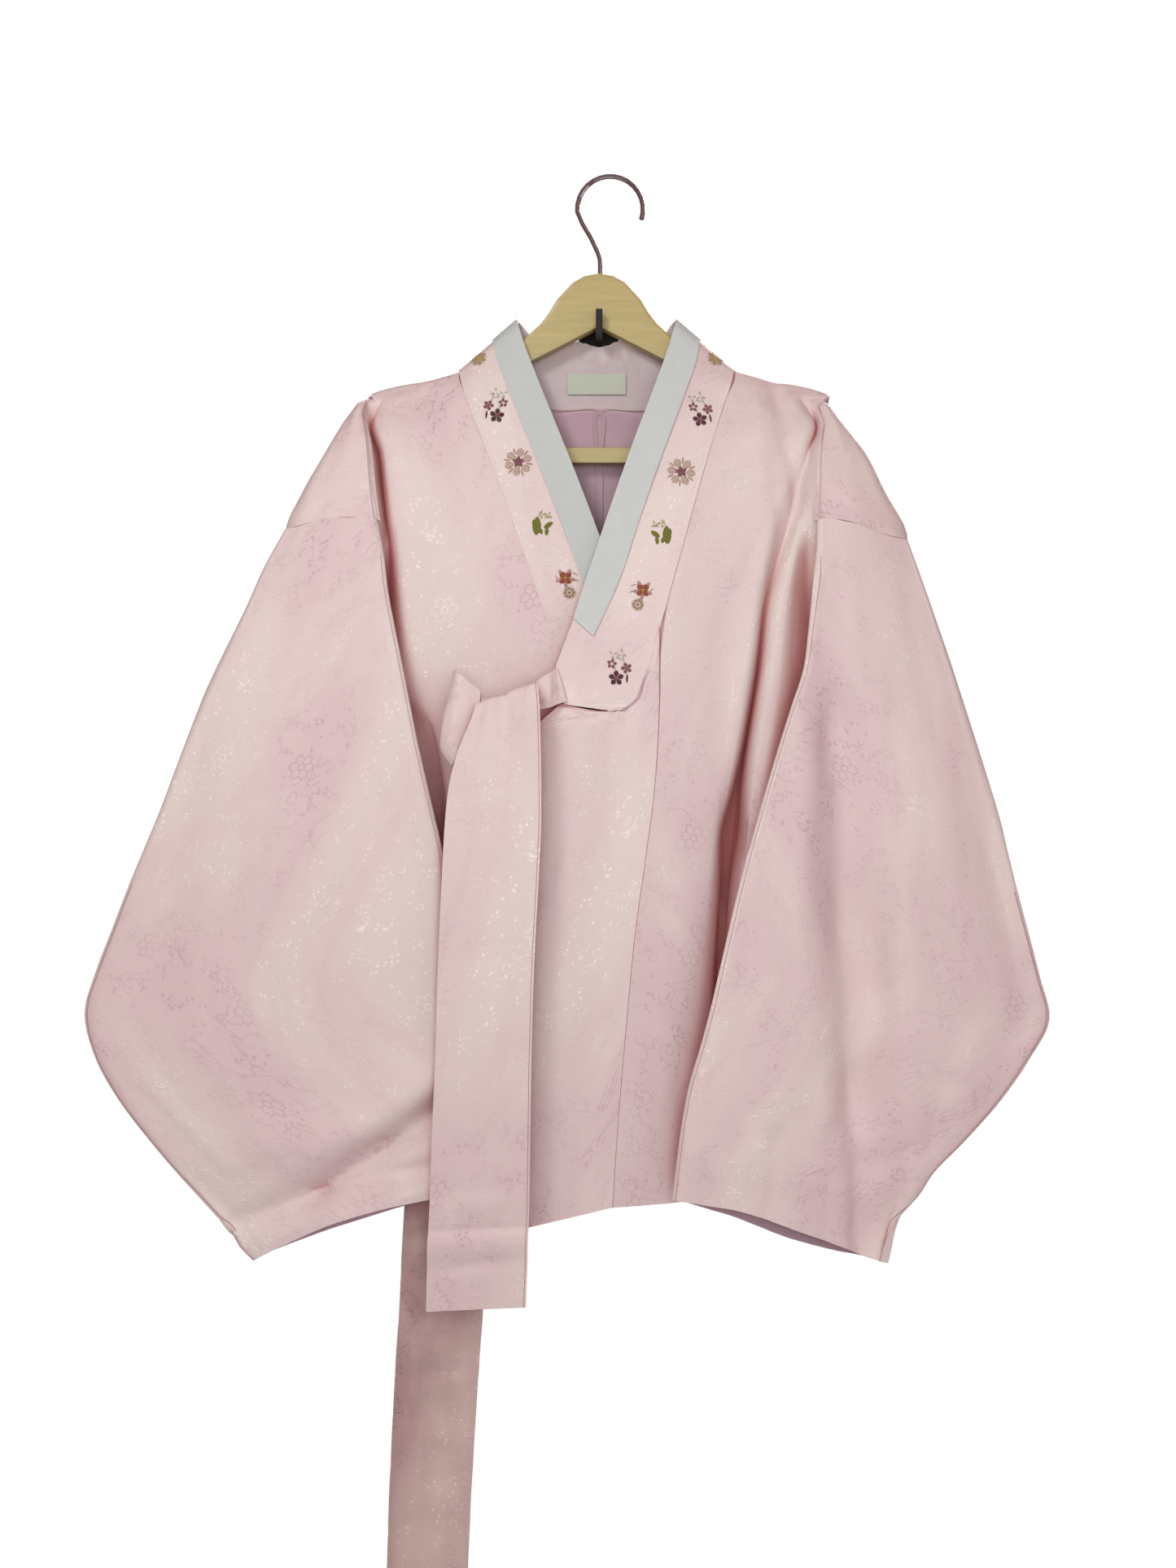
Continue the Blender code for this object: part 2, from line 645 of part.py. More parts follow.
def neck_shift(side, x):
    """The left of the neck stands a little further out than the right."""
    return (NECK_X[side] - NECK_X["right"]) * min(1.0, max(0.0, (x - NECK_SHIFT_FROM) / NECK_SHIFT_OVER))


def back_panel(side):
    """One half of the back. Above the armhole seam it wraps round the outer fold to the crease."""
    sign = 1 if side == "right" else -1
    grid = []
    for y, lift in OVER_BOARD_BACK:
        line = [[sign * x, y, shoulder_height(x) + lift] for x in [NECK_X[side]] + BACK_TOP_X]
        grid.append(line)
    seam_row = None
    for x, y, z, level in BACK_ROWS:
        flat_end = np.array([BACK_FLAT_X, BACK_FLAT_Y, level])
        start = np.array([x + neck_shift(side, x), y, z])
        line = []
        for k in range(BACK_FLAT_COLUMNS):
            share = k / (BACK_FLAT_COLUMNS - 1)
            point = start + (flat_end - start) * share
            point[1] += back_wave(point[0], level)
            point[0] *= sign
            if level == BACK_ROWS[-1][3]:
                point[2] += hem_rise(side, point[0])
            line.append(point)
        line += back_wrap(side, sign, level)
        grid.append(line)
        if level == ARMHOLE_LEVEL:
            seam_row = len(grid) - 1
    ring = BACK_FLAT_COLUMNS - 1 + BACK_RING_COLUMNS
    columns = len(grid[0])
    missing = {(i, j) for i in range(seam_row, len(grid) - 1) for j in range(ring, columns - 1)}
    if side == "left":
        grid = [line[::-1] for line in grid]
        missing = {(i, columns - 2 - j) for i, j in missing}
    flipped = [line[::-1] for line in grid]
    missing = {(i, columns - 2 - j) for i, j in missing}
    return wall(f"back_{side}", flipped, CLOTH, "silk", missing=missing)


def back_wrap(side, sign, level):
    """The back panel from its flat part round the outer fold, and on to the crease above the seam."""
    start = np.array([sign * BACK_FLAT_X, BACK_FLAT_Y + back_wave(BACK_FLAT_X, level), level])
    above = level >= ARMHOLE_LEVEL
    underarm = ARMHOLE_BACK[side][0][3]
    if above:
        z = at(ARMHOLE_TOP[side], 1.0) + EDGE_GAP if level == ARMHOLE_LEVEL else level
        tip = np.array([at(OUTER[side], z, 1), at(OUTER[side], z, 2) + FOLD_R, z])
    elif level >= underarm:
        table = [(r[3], r[1], r[2]) for r in ARMHOLE_BACK[side]]
        tip = np.array([at(table, level, 1), at(table, level, 2), level])
    else:
        tip = np.array([at(SIDE_SEAM[side], level, 1), at(SIDE_SEAM[side], level, 2), level])
    if level == BACK_ROWS[-1][3]:
        start[2] += hem_rise(side, start[0])
        tip[2] += hem_rise(side, tip[0])
    line = []
    for share, back in BACK_RING:
        point = start + (tip - start) * share
        point[1] = start[1] + (tip[1] - start[1]) * back
        line.append(point)
    if level > ARMHOLE_LEVEL:
        line.append(tip)
    else:
        line.append(step_towards(tip, line[-1], ARMHOLE_GAP if level >= underarm else EDGE_GAP))
    for share in WRAP_SHARES:
        z = level
        if level == ARMHOLE_LEVEL:
            z = at(ARMHOLE_TOP[side], share) + SEAM
        line.append(sleeve_point(side, share, False, z))
    line[-1] = step_towards(line[-1], line[-2], SEAM)
    return line


def collar():
    """The band round the neck: its square end in front, up and round the neck, and under the overlap."""
    rows = [(r[:3], r[3:]) for r in COLLAR_RIGHT + COLLAR_LEFT]
    grid = []
    for neck, seam in rows:
        neck, seam = np.array(neck, float), np.array(seam, float)
        seam = step_towards(seam, neck, SEAM)
        grid.append([neck + (seam - neck) * share for share in COLLAR_SHARES])
    return grid


def collar_band():
    return wall("collar", collar()[::-1], BAND, "silk")


def collar_strip():
    """The white strip lies on the neck side of the band, moved out from the band's own points."""
    grid = np.array(collar())
    normal = -grid_normals(grid, False)
    lines = []
    for row in range(STRIP_FROM_ROW, len(grid)):
        neck, seam = grid[row][0], grid[row][-1]
        inner = step_towards(neck, seam, -STRIP_OVER_EDGE)
        outer = step_towards(neck, seam, STRIP_WIDTH)
        if row == STRIP_FROM_ROW:
            outer = np.array(STRIP_END, float)
        lift = (BAND + STRIP) / 2 + STAND_OFF
        ways = (normal[row][0], (normal[row][0] + normal[row][1]) / 2, normal[row][1])
        places = (inner, (inner + outer) / 2, outer)
        lines.append([point + way * lift for point, way in zip(places, ways)])
    return wall("collar_strip", lines[::-1], STRIP, "strip")


def outer_overlap():
    rows = []
    top = [[x, OUTER_OVERLAP_TOP_Y, z] for x, z in OUTER_OVERLAP_TOP]
    rows.append(top)
    levels = [row[0] for row in FRONT_FOLDS["right"] if row[0] <= OUTER_OVERLAP_EDGE[1][0]]
    for seam_z in levels:
        z = OUTER_OVERLAP_EDGE[-1][0] if seam_z == levels[-1] else seam_z
        seam_x = at(FRONT_SEAM["right"], seam_z) - SEAM
        edge_x = at(OUTER_OVERLAP_EDGE, z)
        line = []
        for k in range(len(top)):
            share = k / (len(top) - 1)
            height = seam_z + (z - seam_z) * share
            line.append([seam_x + (edge_x - seam_x) * share, OUTER_OVERLAP_Y, height])
        rows.append(line)
    return wall("overlap_outer", [line[::-1] for line in rows], CLOTH, "silk")


def inner_overlap():
    rows = []
    levels = [row[0] for row in FRONT_FOLDS["left"] if row[0] < FRONT_SEAM["left"][-2][0]]
    for z in levels:
        seam_x = at(FRONT_SEAM["left"], z) + SEAM
        seam_y = at(FRONT_SEAM["left"], z, 2)
        edge_x = at(INNER_OVERLAP_EDGE, z)
        shares = [k / (INNER_OVERLAP_COLUMNS - 1) for k in range(INNER_OVERLAP_COLUMNS)]
        rows.append([[seam_x + (edge_x - seam_x) * share, seam_y, z] for share in shares])
    return wall("overlap_inner", rows, CLOTH, "silk")


def ribbon(name, table, sag=0.0):
    rows = []
    for row in table:
        a, b = np.array(row[:3], float), np.array(row[3:], float)
        middle = (a + b) / 2
        middle[1] -= sag
        rows.append([a, middle, b])
    return wall(name, rows, RIBBON, "silk")


def bow_loop():
    """The loop of the bow: one ribbon out to the tip, folded round and back to the knot."""
    rows = []
    for share, depth in LOOP_TURNS:
        line = []
        for part, tip_x, tip_z in LOOP_TIP:
            root = np.array([LOOP_ROOT_X, LOOP_ROOT_Z[0] + (LOOP_ROOT_Z[1] - LOOP_ROOT_Z[0]) * part])
            tip = np.array([tip_x, tip_z])
            x, z = root + (tip - root) * share
            line.append([x, depth, z])
        rows.append(line)
    return wall("bow_loop", rows, RIBBON, "silk")


def outline_board():
    right = BOARD_OUTLINE[1:]
    left = [(-x, z) for x, z in reversed(right)]
    return BOARD_OUTLINE[:1] + right + [BOARD_APEX] + left


def extrude_outline(name, outline, front, back, edge, finish):
    """A flat piece with softened edges: its outline in x and z, between two depths."""
    mesh = bpy.data.meshes.new(name)
    work = bmesh.new()
    loop = [work.verts.new((x * MM, front * MM, z * MM)) for x, z in outline]
    face = work.faces.new(loop)
    made = bmesh.ops.extrude_face_region(work, geom=[face])
    moved = [item for item in made["geom"] if isinstance(item, bmesh.types.BMVert)]
    bmesh.ops.translate(work, verts=moved, vec=(0, (back - front) * MM, 0))
    bmesh.ops.recalc_face_normals(work, faces=work.faces)
    rims = [e for e in work.edges if abs(e.verts[0].co.y - e.verts[1].co.y) < 1e-7]
    bmesh.ops.bevel(work, geom=rims, offset=edge * MM, segments=2, profile=0.6, affect="EDGES",
                    clamp_overlap=True)
    work.to_mesh(mesh)
    work.free()
    mesh.shade_smooth()
    mesh.set_sharp_from_angle(angle=math.radians(35))
    item = bpy.data.objects.new(name, mesh)
    item.data.materials.append(material(finish))
    bpy.context.scene.collection.objects.link(item)
    return item


def box(name, low, high, finish, edge=0.0, hidden=False):
    mesh = bpy.data.meshes.new(name)
    work = bmesh.new()
    bmesh.ops.create_cube(work, size=1.0)
    for vertex in work.verts:
        for axis in range(3):
            vertex.co[axis] = (low[axis] if vertex.co[axis] < 0 else high[axis]) * MM
    if edge:
        bmesh.ops.bevel(work, geom=list(work.edges), offset=edge * MM, segments=2, profile=0.6,
                        affect="EDGES", clamp_overlap=True)
    work.to_mesh(mesh)
    work.free()
    item = bpy.data.objects.new(name, mesh)
    item.data.materials.append(material(finish))
    bpy.context.scene.collection.objects.link(item)
    if hidden:
        item.hide_render = True
        item.display_type = "WIRE"
    return item


def hanger():
    outline = outline_board()
    extrude_outline("hanger_board", outline, BOARD_FRONT, BOARD_BACK, BOARD_EDGE, "wood")
    middle = (BOARD_FRONT + BOARD_BACK) / 2
    low = (-BAR_HALF_LENGTH, middle - BAR_HALF, BAR_BOTTOM)
    high = (BAR_HALF_LENGTH, middle + BAR_HALF, BAR_TOP)
    box("trouser_bar", low, high, "wood", edge=BAR_EDGE)


def wire_hook():
    middle = (BOARD_FRONT + BOARD_BACK) / 2
    line = list(WIRE_STEM)
    for step in range(HOOK_STEPS + 1):
        angle = math.radians(HOOK_START - HOOK_SWEEP * step / HOOK_STEPS)
        line.append((HOOK_X + HOOK_R * math.cos(angle), HOOK_Z + HOOK_R * math.sin(angle)))
    curve = bpy.data.curves.new("wire_hook", "CURVE")
    curve.dimensions = "3D"
    spline = curve.splines.new("POLY")
    spline.points.add(len(line) - 1)
    for point, (x, z) in zip(spline.points, line):
        point.co = (x * MM, middle * MM, z * MM, 1.0)
    curve.bevel_depth = WIRE_R * MM
    curve.bevel_resolution = 3
    curve.use_fill_caps = True
    item = bpy.data.objects.new("wire_hook", curve)
    item.data.materials.append(material("chrome"))
    bpy.context.scene.collection.objects.link(item)


def wall_hook():
    width, thick, height = PLATE
    low = (-width / 2, -thick, PLATE_TOP - height)
    plate = box("wall_hook", low, (width / 2, 0, PLATE_TOP), "black", edge=PLATE_EDGE)
    side = ARM_W / 2
    arm = box("arm_shape", (-side, PEG_FRONT, ARM_BOTTOM), (side, -thick / 2, ARM_TOP), "black", hidden=True)
    peg = box("peg_shape", (-side, PEG_FRONT, ARM_BOTTOM / 2), (side, PEG_BACK, PEG_TOP), "black", hidden=True)
    for other in (arm, peg):
        join = plate.modifiers.new(other.name, "BOOLEAN")
        join.operation = "UNION"
        join.object = other


def main():
    clear_scene()
    for side in ("left", "right"):
        sleeve(side)
        front_panel(side)
        back_panel(side)
    outer_overlap()
    inner_overlap()
    collar_band()
    collar_strip()
    ribbon("tie_short", SHORT_TIE)
    ribbon("tie_long", LONG_TIE)
    ribbon("tie_root", TIE_ROOT, sag=ROOT_SAG)
    bow_loop()
    box("bow_knot", KNOT[::2], KNOT[1::2], "silk", edge=KNOT_EDGE)
    box("neck_label", LABEL[::2], LABEL[1::2], "label")
    hanger()
    wire_hook()
    wall_hook()


if __name__ == "__main__":
    main()
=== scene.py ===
# The looks of a jeogori, the short tied jacket of a hanbok, on its hanger and wall hook.
# Sizes are in millimetres: x to the viewer's right, y into the wall, z up.
import functools
import math

import bpy
import numpy as np
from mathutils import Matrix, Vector, noise
from mathutils.bvhtree import BVHTree


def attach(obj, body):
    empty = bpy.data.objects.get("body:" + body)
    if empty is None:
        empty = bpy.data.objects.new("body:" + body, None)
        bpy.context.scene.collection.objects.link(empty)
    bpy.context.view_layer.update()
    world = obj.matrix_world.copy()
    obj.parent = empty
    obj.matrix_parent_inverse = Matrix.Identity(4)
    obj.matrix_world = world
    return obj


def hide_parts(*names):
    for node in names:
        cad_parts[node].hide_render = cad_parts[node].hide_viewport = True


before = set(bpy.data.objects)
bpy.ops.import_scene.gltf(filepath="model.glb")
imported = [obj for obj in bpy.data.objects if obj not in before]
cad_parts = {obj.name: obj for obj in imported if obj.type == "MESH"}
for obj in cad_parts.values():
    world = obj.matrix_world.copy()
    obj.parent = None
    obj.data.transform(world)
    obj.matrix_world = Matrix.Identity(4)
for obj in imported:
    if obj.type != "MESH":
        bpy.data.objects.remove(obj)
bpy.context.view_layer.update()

MM = 0.001
CM = 10.0  # millimetres to a centimetre, for places on the flat cloth

# Camera: the photo's view, level with the middle of the picture
CAMERA = (-8.4, -1326.0, -342.6)
LENS = 39.2  # with SENSOR, the photo's field of view
SENSOR = 36.0

# Walls and seams
CLOTH = 1.5
BAND = 1.9
STRIP = 1.2
RIBBON = 1.6
SEAM = 0.08
EDGE_GAP = 0.15
ARMHOLE_GAP = 0.2
STAND_OFF = 0.15  # between the collar band and the strip that lies on it

# The shoulder line that the cloth follows along the hanger's top, each side
SHOULDER = [
    # |x|, z
    (100, -30), (104, -31.5), (126, -38), (150, -42), (163, -45), (175, -49),
]
OVER_BOARD = [
    # y on the front, height over the shoulder line
    (-26.0 - SEAM / 2, 1), (-31.2, 0.6), (-34.2, -4),
]

# Top fold of each sleeve, seen as the inner front crease
CREASE = {
    "left": [
        # z, x, y
        (-47, -173, -32), (-63, -178, -46), (-90, -173, -57), (-124, -169, -65), (-148, -165, -70),
        (-170, -160, -73), (-209, -155, -76), (-260, -145, -79), (-308, -135, -82), (-357, -124, -85),
        (-388, -116, -86), (-453, -111, -87), (-512, -107, -88), (-577, -103, -88), (-638, -99, -88),
        (-700, -95, -88),
    ],
    "right": [
        (-47, 164, -32), (-74, 169, -48), (-95, 165, -58), (-126, 163, -66), (-148, 162, -70),
        (-164, 162, -73), (-216, 156, -76), (-257, 151, -79), (-303, 136, -82), (-346, 123, -84),
        (-390, 110, -86), (-435, 98, -87), (-479, 88, -88), (-519, 79, -88), (-561, 67, -88),
        (-593, 61, -88), (-644, 54, -88), (-700, 46, -88),
    ],
}

# Outer edge: a soft fold at the shoulder, then the curved underarm seam below the corner
OUTER = {
    "left": [
        # z, x, y
        (-47, -175, -34), (-75, -193, -46), (-97, -205, -51), (-127, -222, -54), (-149, -230, -56),
        (-171, -244, -58), (-214, -262, -60), (-274, -289, -62), (-359, -321, -65), (-430, -351, -67),
        (-493, -374, -69), (-514, -377, -71), (-538, -370, -73), (-570, -352, -75), (-607, -324, -77),
        (-640, -296, -78), (-664, -273, -79), (-689, -251, -80),
    ],
    "right": [
        (-47, 166, -34), (-74, 182, -46), (-94, 197, -51), (-127, 213, -54), (-153, 225, -56),
        (-168, 231, -58), (-256, 260, -62), (-365, 293, -66), (-433, 309, -68), (-485, 322, -70),
        (-515, 329, -71), (-525, 326, -72), (-548, 312, -74), (-578, 291, -75), (-602, 268, -77),
        (-622, 247, -78), (-637, 232, -79), (-652, 220, -79), (-667, 213, -80), (-692, 207, -80),
    ],
}

# Armhole seam. The share is the way across the sleeve, 0 at the crease and 1 at the outer edge.
ARMHOLE_FRONT = {
    "left": [
        # share, x, y, z
        (0.00, -165, -69, -148), (0.10, -170, -61, -168), (0.22, -181, -50, -208),
        (0.35, -195, -39, -252), (0.47, -212, -27, -298),
    ],
    "right": [
        (0.00, 162, -69, -148), (0.10, 166, -61, -168), (0.22, 176, -50, -208),
        (0.35, 189, -39, -252), (0.47, 205, -27, -298),
    ],
}
ARMHOLE_BACK = {
    "left": [
        (0.47, -212, -27, -298), (0.60, -227, -24, -262), (0.75, -237, -27, -222),
        (0.88, -240, -36, -186), (1.00, -231, -52, -154),
    ],
    "right": [
        (0.47, 205, -27, -298), (0.60, 221, -24, -262), (0.75, 231, -27, -226),
        (0.88, 235, -36, -192), (1.00, 226, -52, -162),
    ],
}
ARMHOLE_TOP = {
    "left": [
        # share, z of the seam where it shows
        (0, -148), (0.17, -147), (0.47, -146.5), (0.69, -148.5), (1, -154),
    ],
    "right": [
        (0, -148), (0.17, -148), (0.47, -151.5), (0.69, -157.5), (1, -162),
    ],
}
CUFF = {
    "left": [
        # share, z
        (0, -638), (0.3, -650), (0.55, -662), (1, -689),
    ],
    "right": [
        (0, -644), (0.3, -652), (0.6, -668), (1, -692),
    ],
}

# How far the hidden layer of a sleeve lies behind the one that shows
SLEEVE_DEPTH = [
    # z, depth
    (-700, 15), (-560, 18), (-480, 22), (-400, 32), (-298, 48), (-148, 52),
]
UNDERARM_SHARE = 0.47  # where the side seam meets the armhole, across the sleeve
FOLD_R = 2.1  # half the distance between a sleeve's two layers at a pressed fold
SLEEVE_SWELL = 3.0
SLEEVE_ROWS = 19
SLEEVE_SHARES = [0.015, 0.08, 0.17, 0.27, 0.37, UNDERARM_SHARE, 0.58, 0.69, 0.79, 0.88, 0.95, 0.987]
EDGE_SHARE = 0.04
ROUND_POWER = 2.6
ROUND_FROM = -298
ROUND_FULL = -480
ARMHOLE_FADE = 0.4  # share of the sleeve's length over which the armhole's shape fades out
ARMHOLE_PAST = 4  # how far below the armhole's lowest named point its seam still counts

# Large soft folds of the sleeves: a trough where the depth is positive
SLEEVE_FOLDS = {
    "left": [
        # x and z of one end, x and z of the other, half width, depth
        (-270, -668, -125, -600, 11, 6), (-285, -640, -130, -560, 12, -3),
        (-200, -190, -215, -330, 22, 2.5), (-300, -330, -330, -480, 16, 3),
    ],
    "right": [
        (178, -300, 196, -480, 20, 7), (196, -480, 205, -650, 15, 6),
        (150, -330, 128, -560, 18, -4), (243, -330, 262, -560, 20, -4),
        (290, -400, 312, -500, 12, 4),
    ],
}

# Front panels: the seam with the collar and then with the overlap, and the folds beside the sleeve
FRONT_SEAM = {
    "left": [
        # z, x, y
        (-31, -106, -34), (-57, -97.8, -43.5), (-101, -80.8, -50.8), (-139, -66.8, -54.6),
        (-179, -52.8, -57.2), (-219, -39.1, -59), (-257, -26, -60), (-290, -14, -60), (-668, -10, -62),
    ],
    "right": [
        (-31, 102, -34), (-58, 93.4, -43), (-106, 78.4, -54.5), (-156, 64.4, -62), (-205, 51, -67),
        (-226, 45, -68.6), (-287, 44, -70), (-341, 41, -71), (-364, 38, -71), (-460, 25, -71),
        (-579, 14, -71), (-660, 9, -71),
    ],
}
FRONT_FOLDS = {
    "left": [
        # z, swell x, y, roll x, y, valley x, y, ridge x, y, tuck x, y
        (-52, -128, -38, -155, -38, -163, -36, -168, -35, -171, -34),
        (-62, -128, -43, -162, -41, -168, -35, -173, -37, -176, -41),
        (-72, -126, -47, -165, -45, -171, -36, -174, -41, -176, -46),
        (-95, -124, -52, -160, -51, -165, -37, -169, -48, -171, -54),
        (-122, -122, -56, -157, -54, -162, -42, -166, -56, -168, -61),
        (-147, -121, -58, -154, -56, -159, -48, -162, -56, -164, -63),
        (-172, -120, -58, -149, -57, -157, -50, -162, -50, -167, -53),
        (-208, -118, -58, -147, -57, -157, -49, -164, -45, -172, -44),
        (-245, -116, -58, -146, -57, -158, -49, -167, -42, -180, -37),
        (-272, -115, -57, -146, -56, -159, -48, -170, -39, -187, -32),
        (-300, -112, -56, -128, -51, -156, -47, -176, -36, -194, -29),
        (-352, -104, -56, -120, -40, -158, -48, -188, -36, -204, -29),
        (-395, -104, -56, -120, -42, -158, -48, -192, -35, -208, -28),
        (-455, -104, -57, -124, -50, -160, -48, -196, -34, -211, -27),
        (-530, -104, -58, -128, -53, -163, -48, -199, -33, -214, -26),
        (-600, -104, -58, -130, -54, -166, -48, -201, -32, -216, -26),
        (-658, -104, -58, -132, -54, -168, -48, -202, -32, -217, -26),
    ],
    "right": [
        (-52, 128, -38, 144, -39, 153, -36, 159, -35, 162, -34),
        (-62, 128, -43, 152, -42, 158, -36, 162, -37, 165, -40),
        (-72, 126, -47, 158, -46, 162, -38, 165, -42, 167, -46),
        (-95, 120, -53, 148, -52, 156, -48, 160, -52, 163, -56),
        (-122, 112, -57, 138, -55, 148, -50, 156, -57, 160, -62),
        (-147, 106, -60, 130, -58, 142, -51, 150, -59, 157, -62),
        (-172, 100, -62, 124, -59, 134, -50, 144, -58, 156, -52),
        (-208, 92, -64, 116, -61, 123, -49, 136, -59, 158, -46),
        (-245, 86, -65, 112, -62, 119, -47, 131, -59, 165, -42),
        (-272, 84, -66, 109, -62, 116, -45, 127, -60, 176, -33),
        (-300, 80, -67, 105, -62, 112, -41, 122, -60, 182, -26),
        (-352, 74, -67, 97, -62, 104, -35, 114, -60, 186, -26),
        (-395, 70, -67, 92, -61, 98, -33, 108, -60, 188, -26),
        (-455, 62, -68, 88, -60, 93, -35, 102, -60, 190, -26),
        (-530, 56, -68, 84, -60, 91, -46, 102, -58, 193, -26),
        (-600, 52, -68, 80, -61, 92, -52, 106, -56, 196, -26),
        (-654, 50, -68, 78, -62, 94, -53, 110, -55, 198, -26),
    ],
}
SIDE_SEAM = {
    "left": [
        # z, x, y
        (-298, -212, -27), (-352, -216, -25), (-455, -222, -23), (-600, -228, -22), (-642, -229, -22),
    ],
    "right": [
        (-298, 205, -27), (-352, 209, -25), (-455, 215, -23), (-600, 221, -22), (-640, 222, -22),
    ],
}
TIP_RUN = [
    # z, how far the right front goes on under the crease
    (-72, 0), (-62, 3), (-52, 6.5),
]
HEM_RISE = 24.0
HEM_CURVE = 1.4
FRONT_STEPS = [3, 3, 2, 2, 2, 2]
TOP_X = [128, 148, 158, 165, 169, 172]

# Back panels
BACK_FLAT_X = 160.0
BACK_FLAT_Y = -16.8
BACK_FLAT_COLUMNS = 7
BACK_RING_COLUMNS = 4
ARMHOLE_LEVEL = -148
OVER_BOARD_BACK = [
    # y, height over the shoulder line
    (-26.0 + SEAM / 2, 1), (-20.8, 0.6), (-17.8, -4),
]
BACK_TOP_X = [112, 122, 132, 142, 152, 160, 163, 165.5, 168, 170, 171, 172, 173, 174, 175]
NECK_X = {"left": 106, "right": 102.5}
BACK_ROWS = [
    # x, y, z of the row's start, along the neck and then down the middle; level of its outer part
    (96.3, -17.2, -38.4, -57), (84.8, -16.7, -47, -64), (60.3, -15.8, -54.6, -72),
    (32, -15.3, -56.6, -84), (0.4, -15.1, -58.3, -96), (0.4, -15.6, -90, -122),
    (0.4, -15.8, -130, -148), (0.4, -15.6, -165, -175), (0.4, -15.4, -205, -208),
    (0.4, -15, -245, -245), (0.4, -15, -298, -298), (0.4, -15, -352, -352), (0.4, -15, -410, -410),
    (0.4, -15, -470, -470), (0.4, -15, -530, -530), (0.4, -15, -600, -600), (0.4, -15, -662, -662),
]
NECK_SHIFT_FROM = 60.0
NECK_SHIFT_OVER = 42.0
BACK_RING = [
    # share of the way from the flat part to the outer fold, share of the depth
    (0.4, 0.04), (0.75, 0.16), (0.95, 0.5),
]
WRAP_SHARES = [0.95, 0.69, 0.47, 0.17, 0.015]
WAVES_FROM = -150.0
WAVES_OVER = 480.0
BACK_WAVES = [
    # |x| of the crest, half width, depth at the hem
    (52, 20, 5), (108, 20, 7), (150, 14, 6),
]

# Overlaps sewn to the front edges
OUTER_OVERLAP_TOP_Y = -70.8
OUTER_OVERLAP_Y = -71.0
INNER_OVERLAP_COLUMNS = 4
OUTER_OVERLAP_TOP = [
    # x, z along the collar's lower edge, from the seam to the free edge
    (44, -228), (37.4, -253), (31.5, -269), (25.5, -282), (15, -288.4), (4, -290), (-31, -286),
]
OUTER_OVERLAP_EDGE = [
    # z, x of the free edge
    (-287, -31), (-300, -46), (-480, -60), (-674, -75),
]
INNER_HEM = -645.0
INNER_OVERLAP_EDGE = [
    # z, x
    (-292, 46), (-480, 54), (-668, 62),
]

# Collar band, from its square end up the viewer's right side
COLLAR_RIGHT = [
    # neck x, y, z, seam x, y, z
    (-26, -71, -284, 5, -71, -288.4), (-29, -71, -276, 17.5, -71, -286.4),
    (-31, -71, -268, 26, -71, -280), (-32, -71, -257, 31.5, -70.8, -267),
    (-28, -70.6, -245, 36, -70, -251), (-19, -69.8, -221, 43.3, -68.5, -226),
    (-9, -67.5, -190, 49.5, -66.5, -205), (9, -62.5, -136, 63, -61.5, -156),
    (26, -55.5, -87, 77, -54, -106), (44, -45.5, -38, 92, -42.5, -58),
    (53, -37.5, -11, 99.3, -35.5, -35.5), (57, -32, 4, 100.6, -31.2, -29),
    (58, -26, 9, 101, -26, -27.6), (55, -20.2, 7.5, 100.2, -19.6, -28.6),
    (50, -17.2, 1.5, 95, -17, -37), (42, -16.2, -3, 84, -16.6, -45.5),
    (24, -14.8, -6.3, 60, -15.7, -53), (0, -14.2, -7.5, 0, -15, -56.8),
]
COLLAR_LEFT = [
    (-24, -14.8, -6.3, -60, -15.7, -53), (-44, -16.2, -3, -86, -16.6, -45.5),
    (-53, -17.2, 1.5, -98, -17, -37), (-59, -20.2, 7.5, -103.6, -19.6, -28.8),
    (-62, -26, 9, -104.5, -26, -27.8), (-61, -32, 4, -104.4, -31.2, -29.3),
    (-57, -37, -10, -103.2, -35.5, -35.5), (-48, -43.5, -35, -96.5, -43.5, -57),
    (-31, -50, -78, -79.5, -50.8, -101), (-15, -54.5, -119, -65.5, -54.6, -139),
    (0, -57.5, -159, -51.5, -57.2, -179), (15, -59.5, -199, -37.8, -59, -219),
    (27, -60.5, -232, -24.6, -60, -257),
]
COLLAR_SHARES = [0, 0.42, 0.75, 1]
STRIP_WIDTH = 23.0
STRIP_OVER_EDGE = 0.4
STRIP_END = (-4.5, -70.2, -234)
STRIP_FROM_ROW = 5

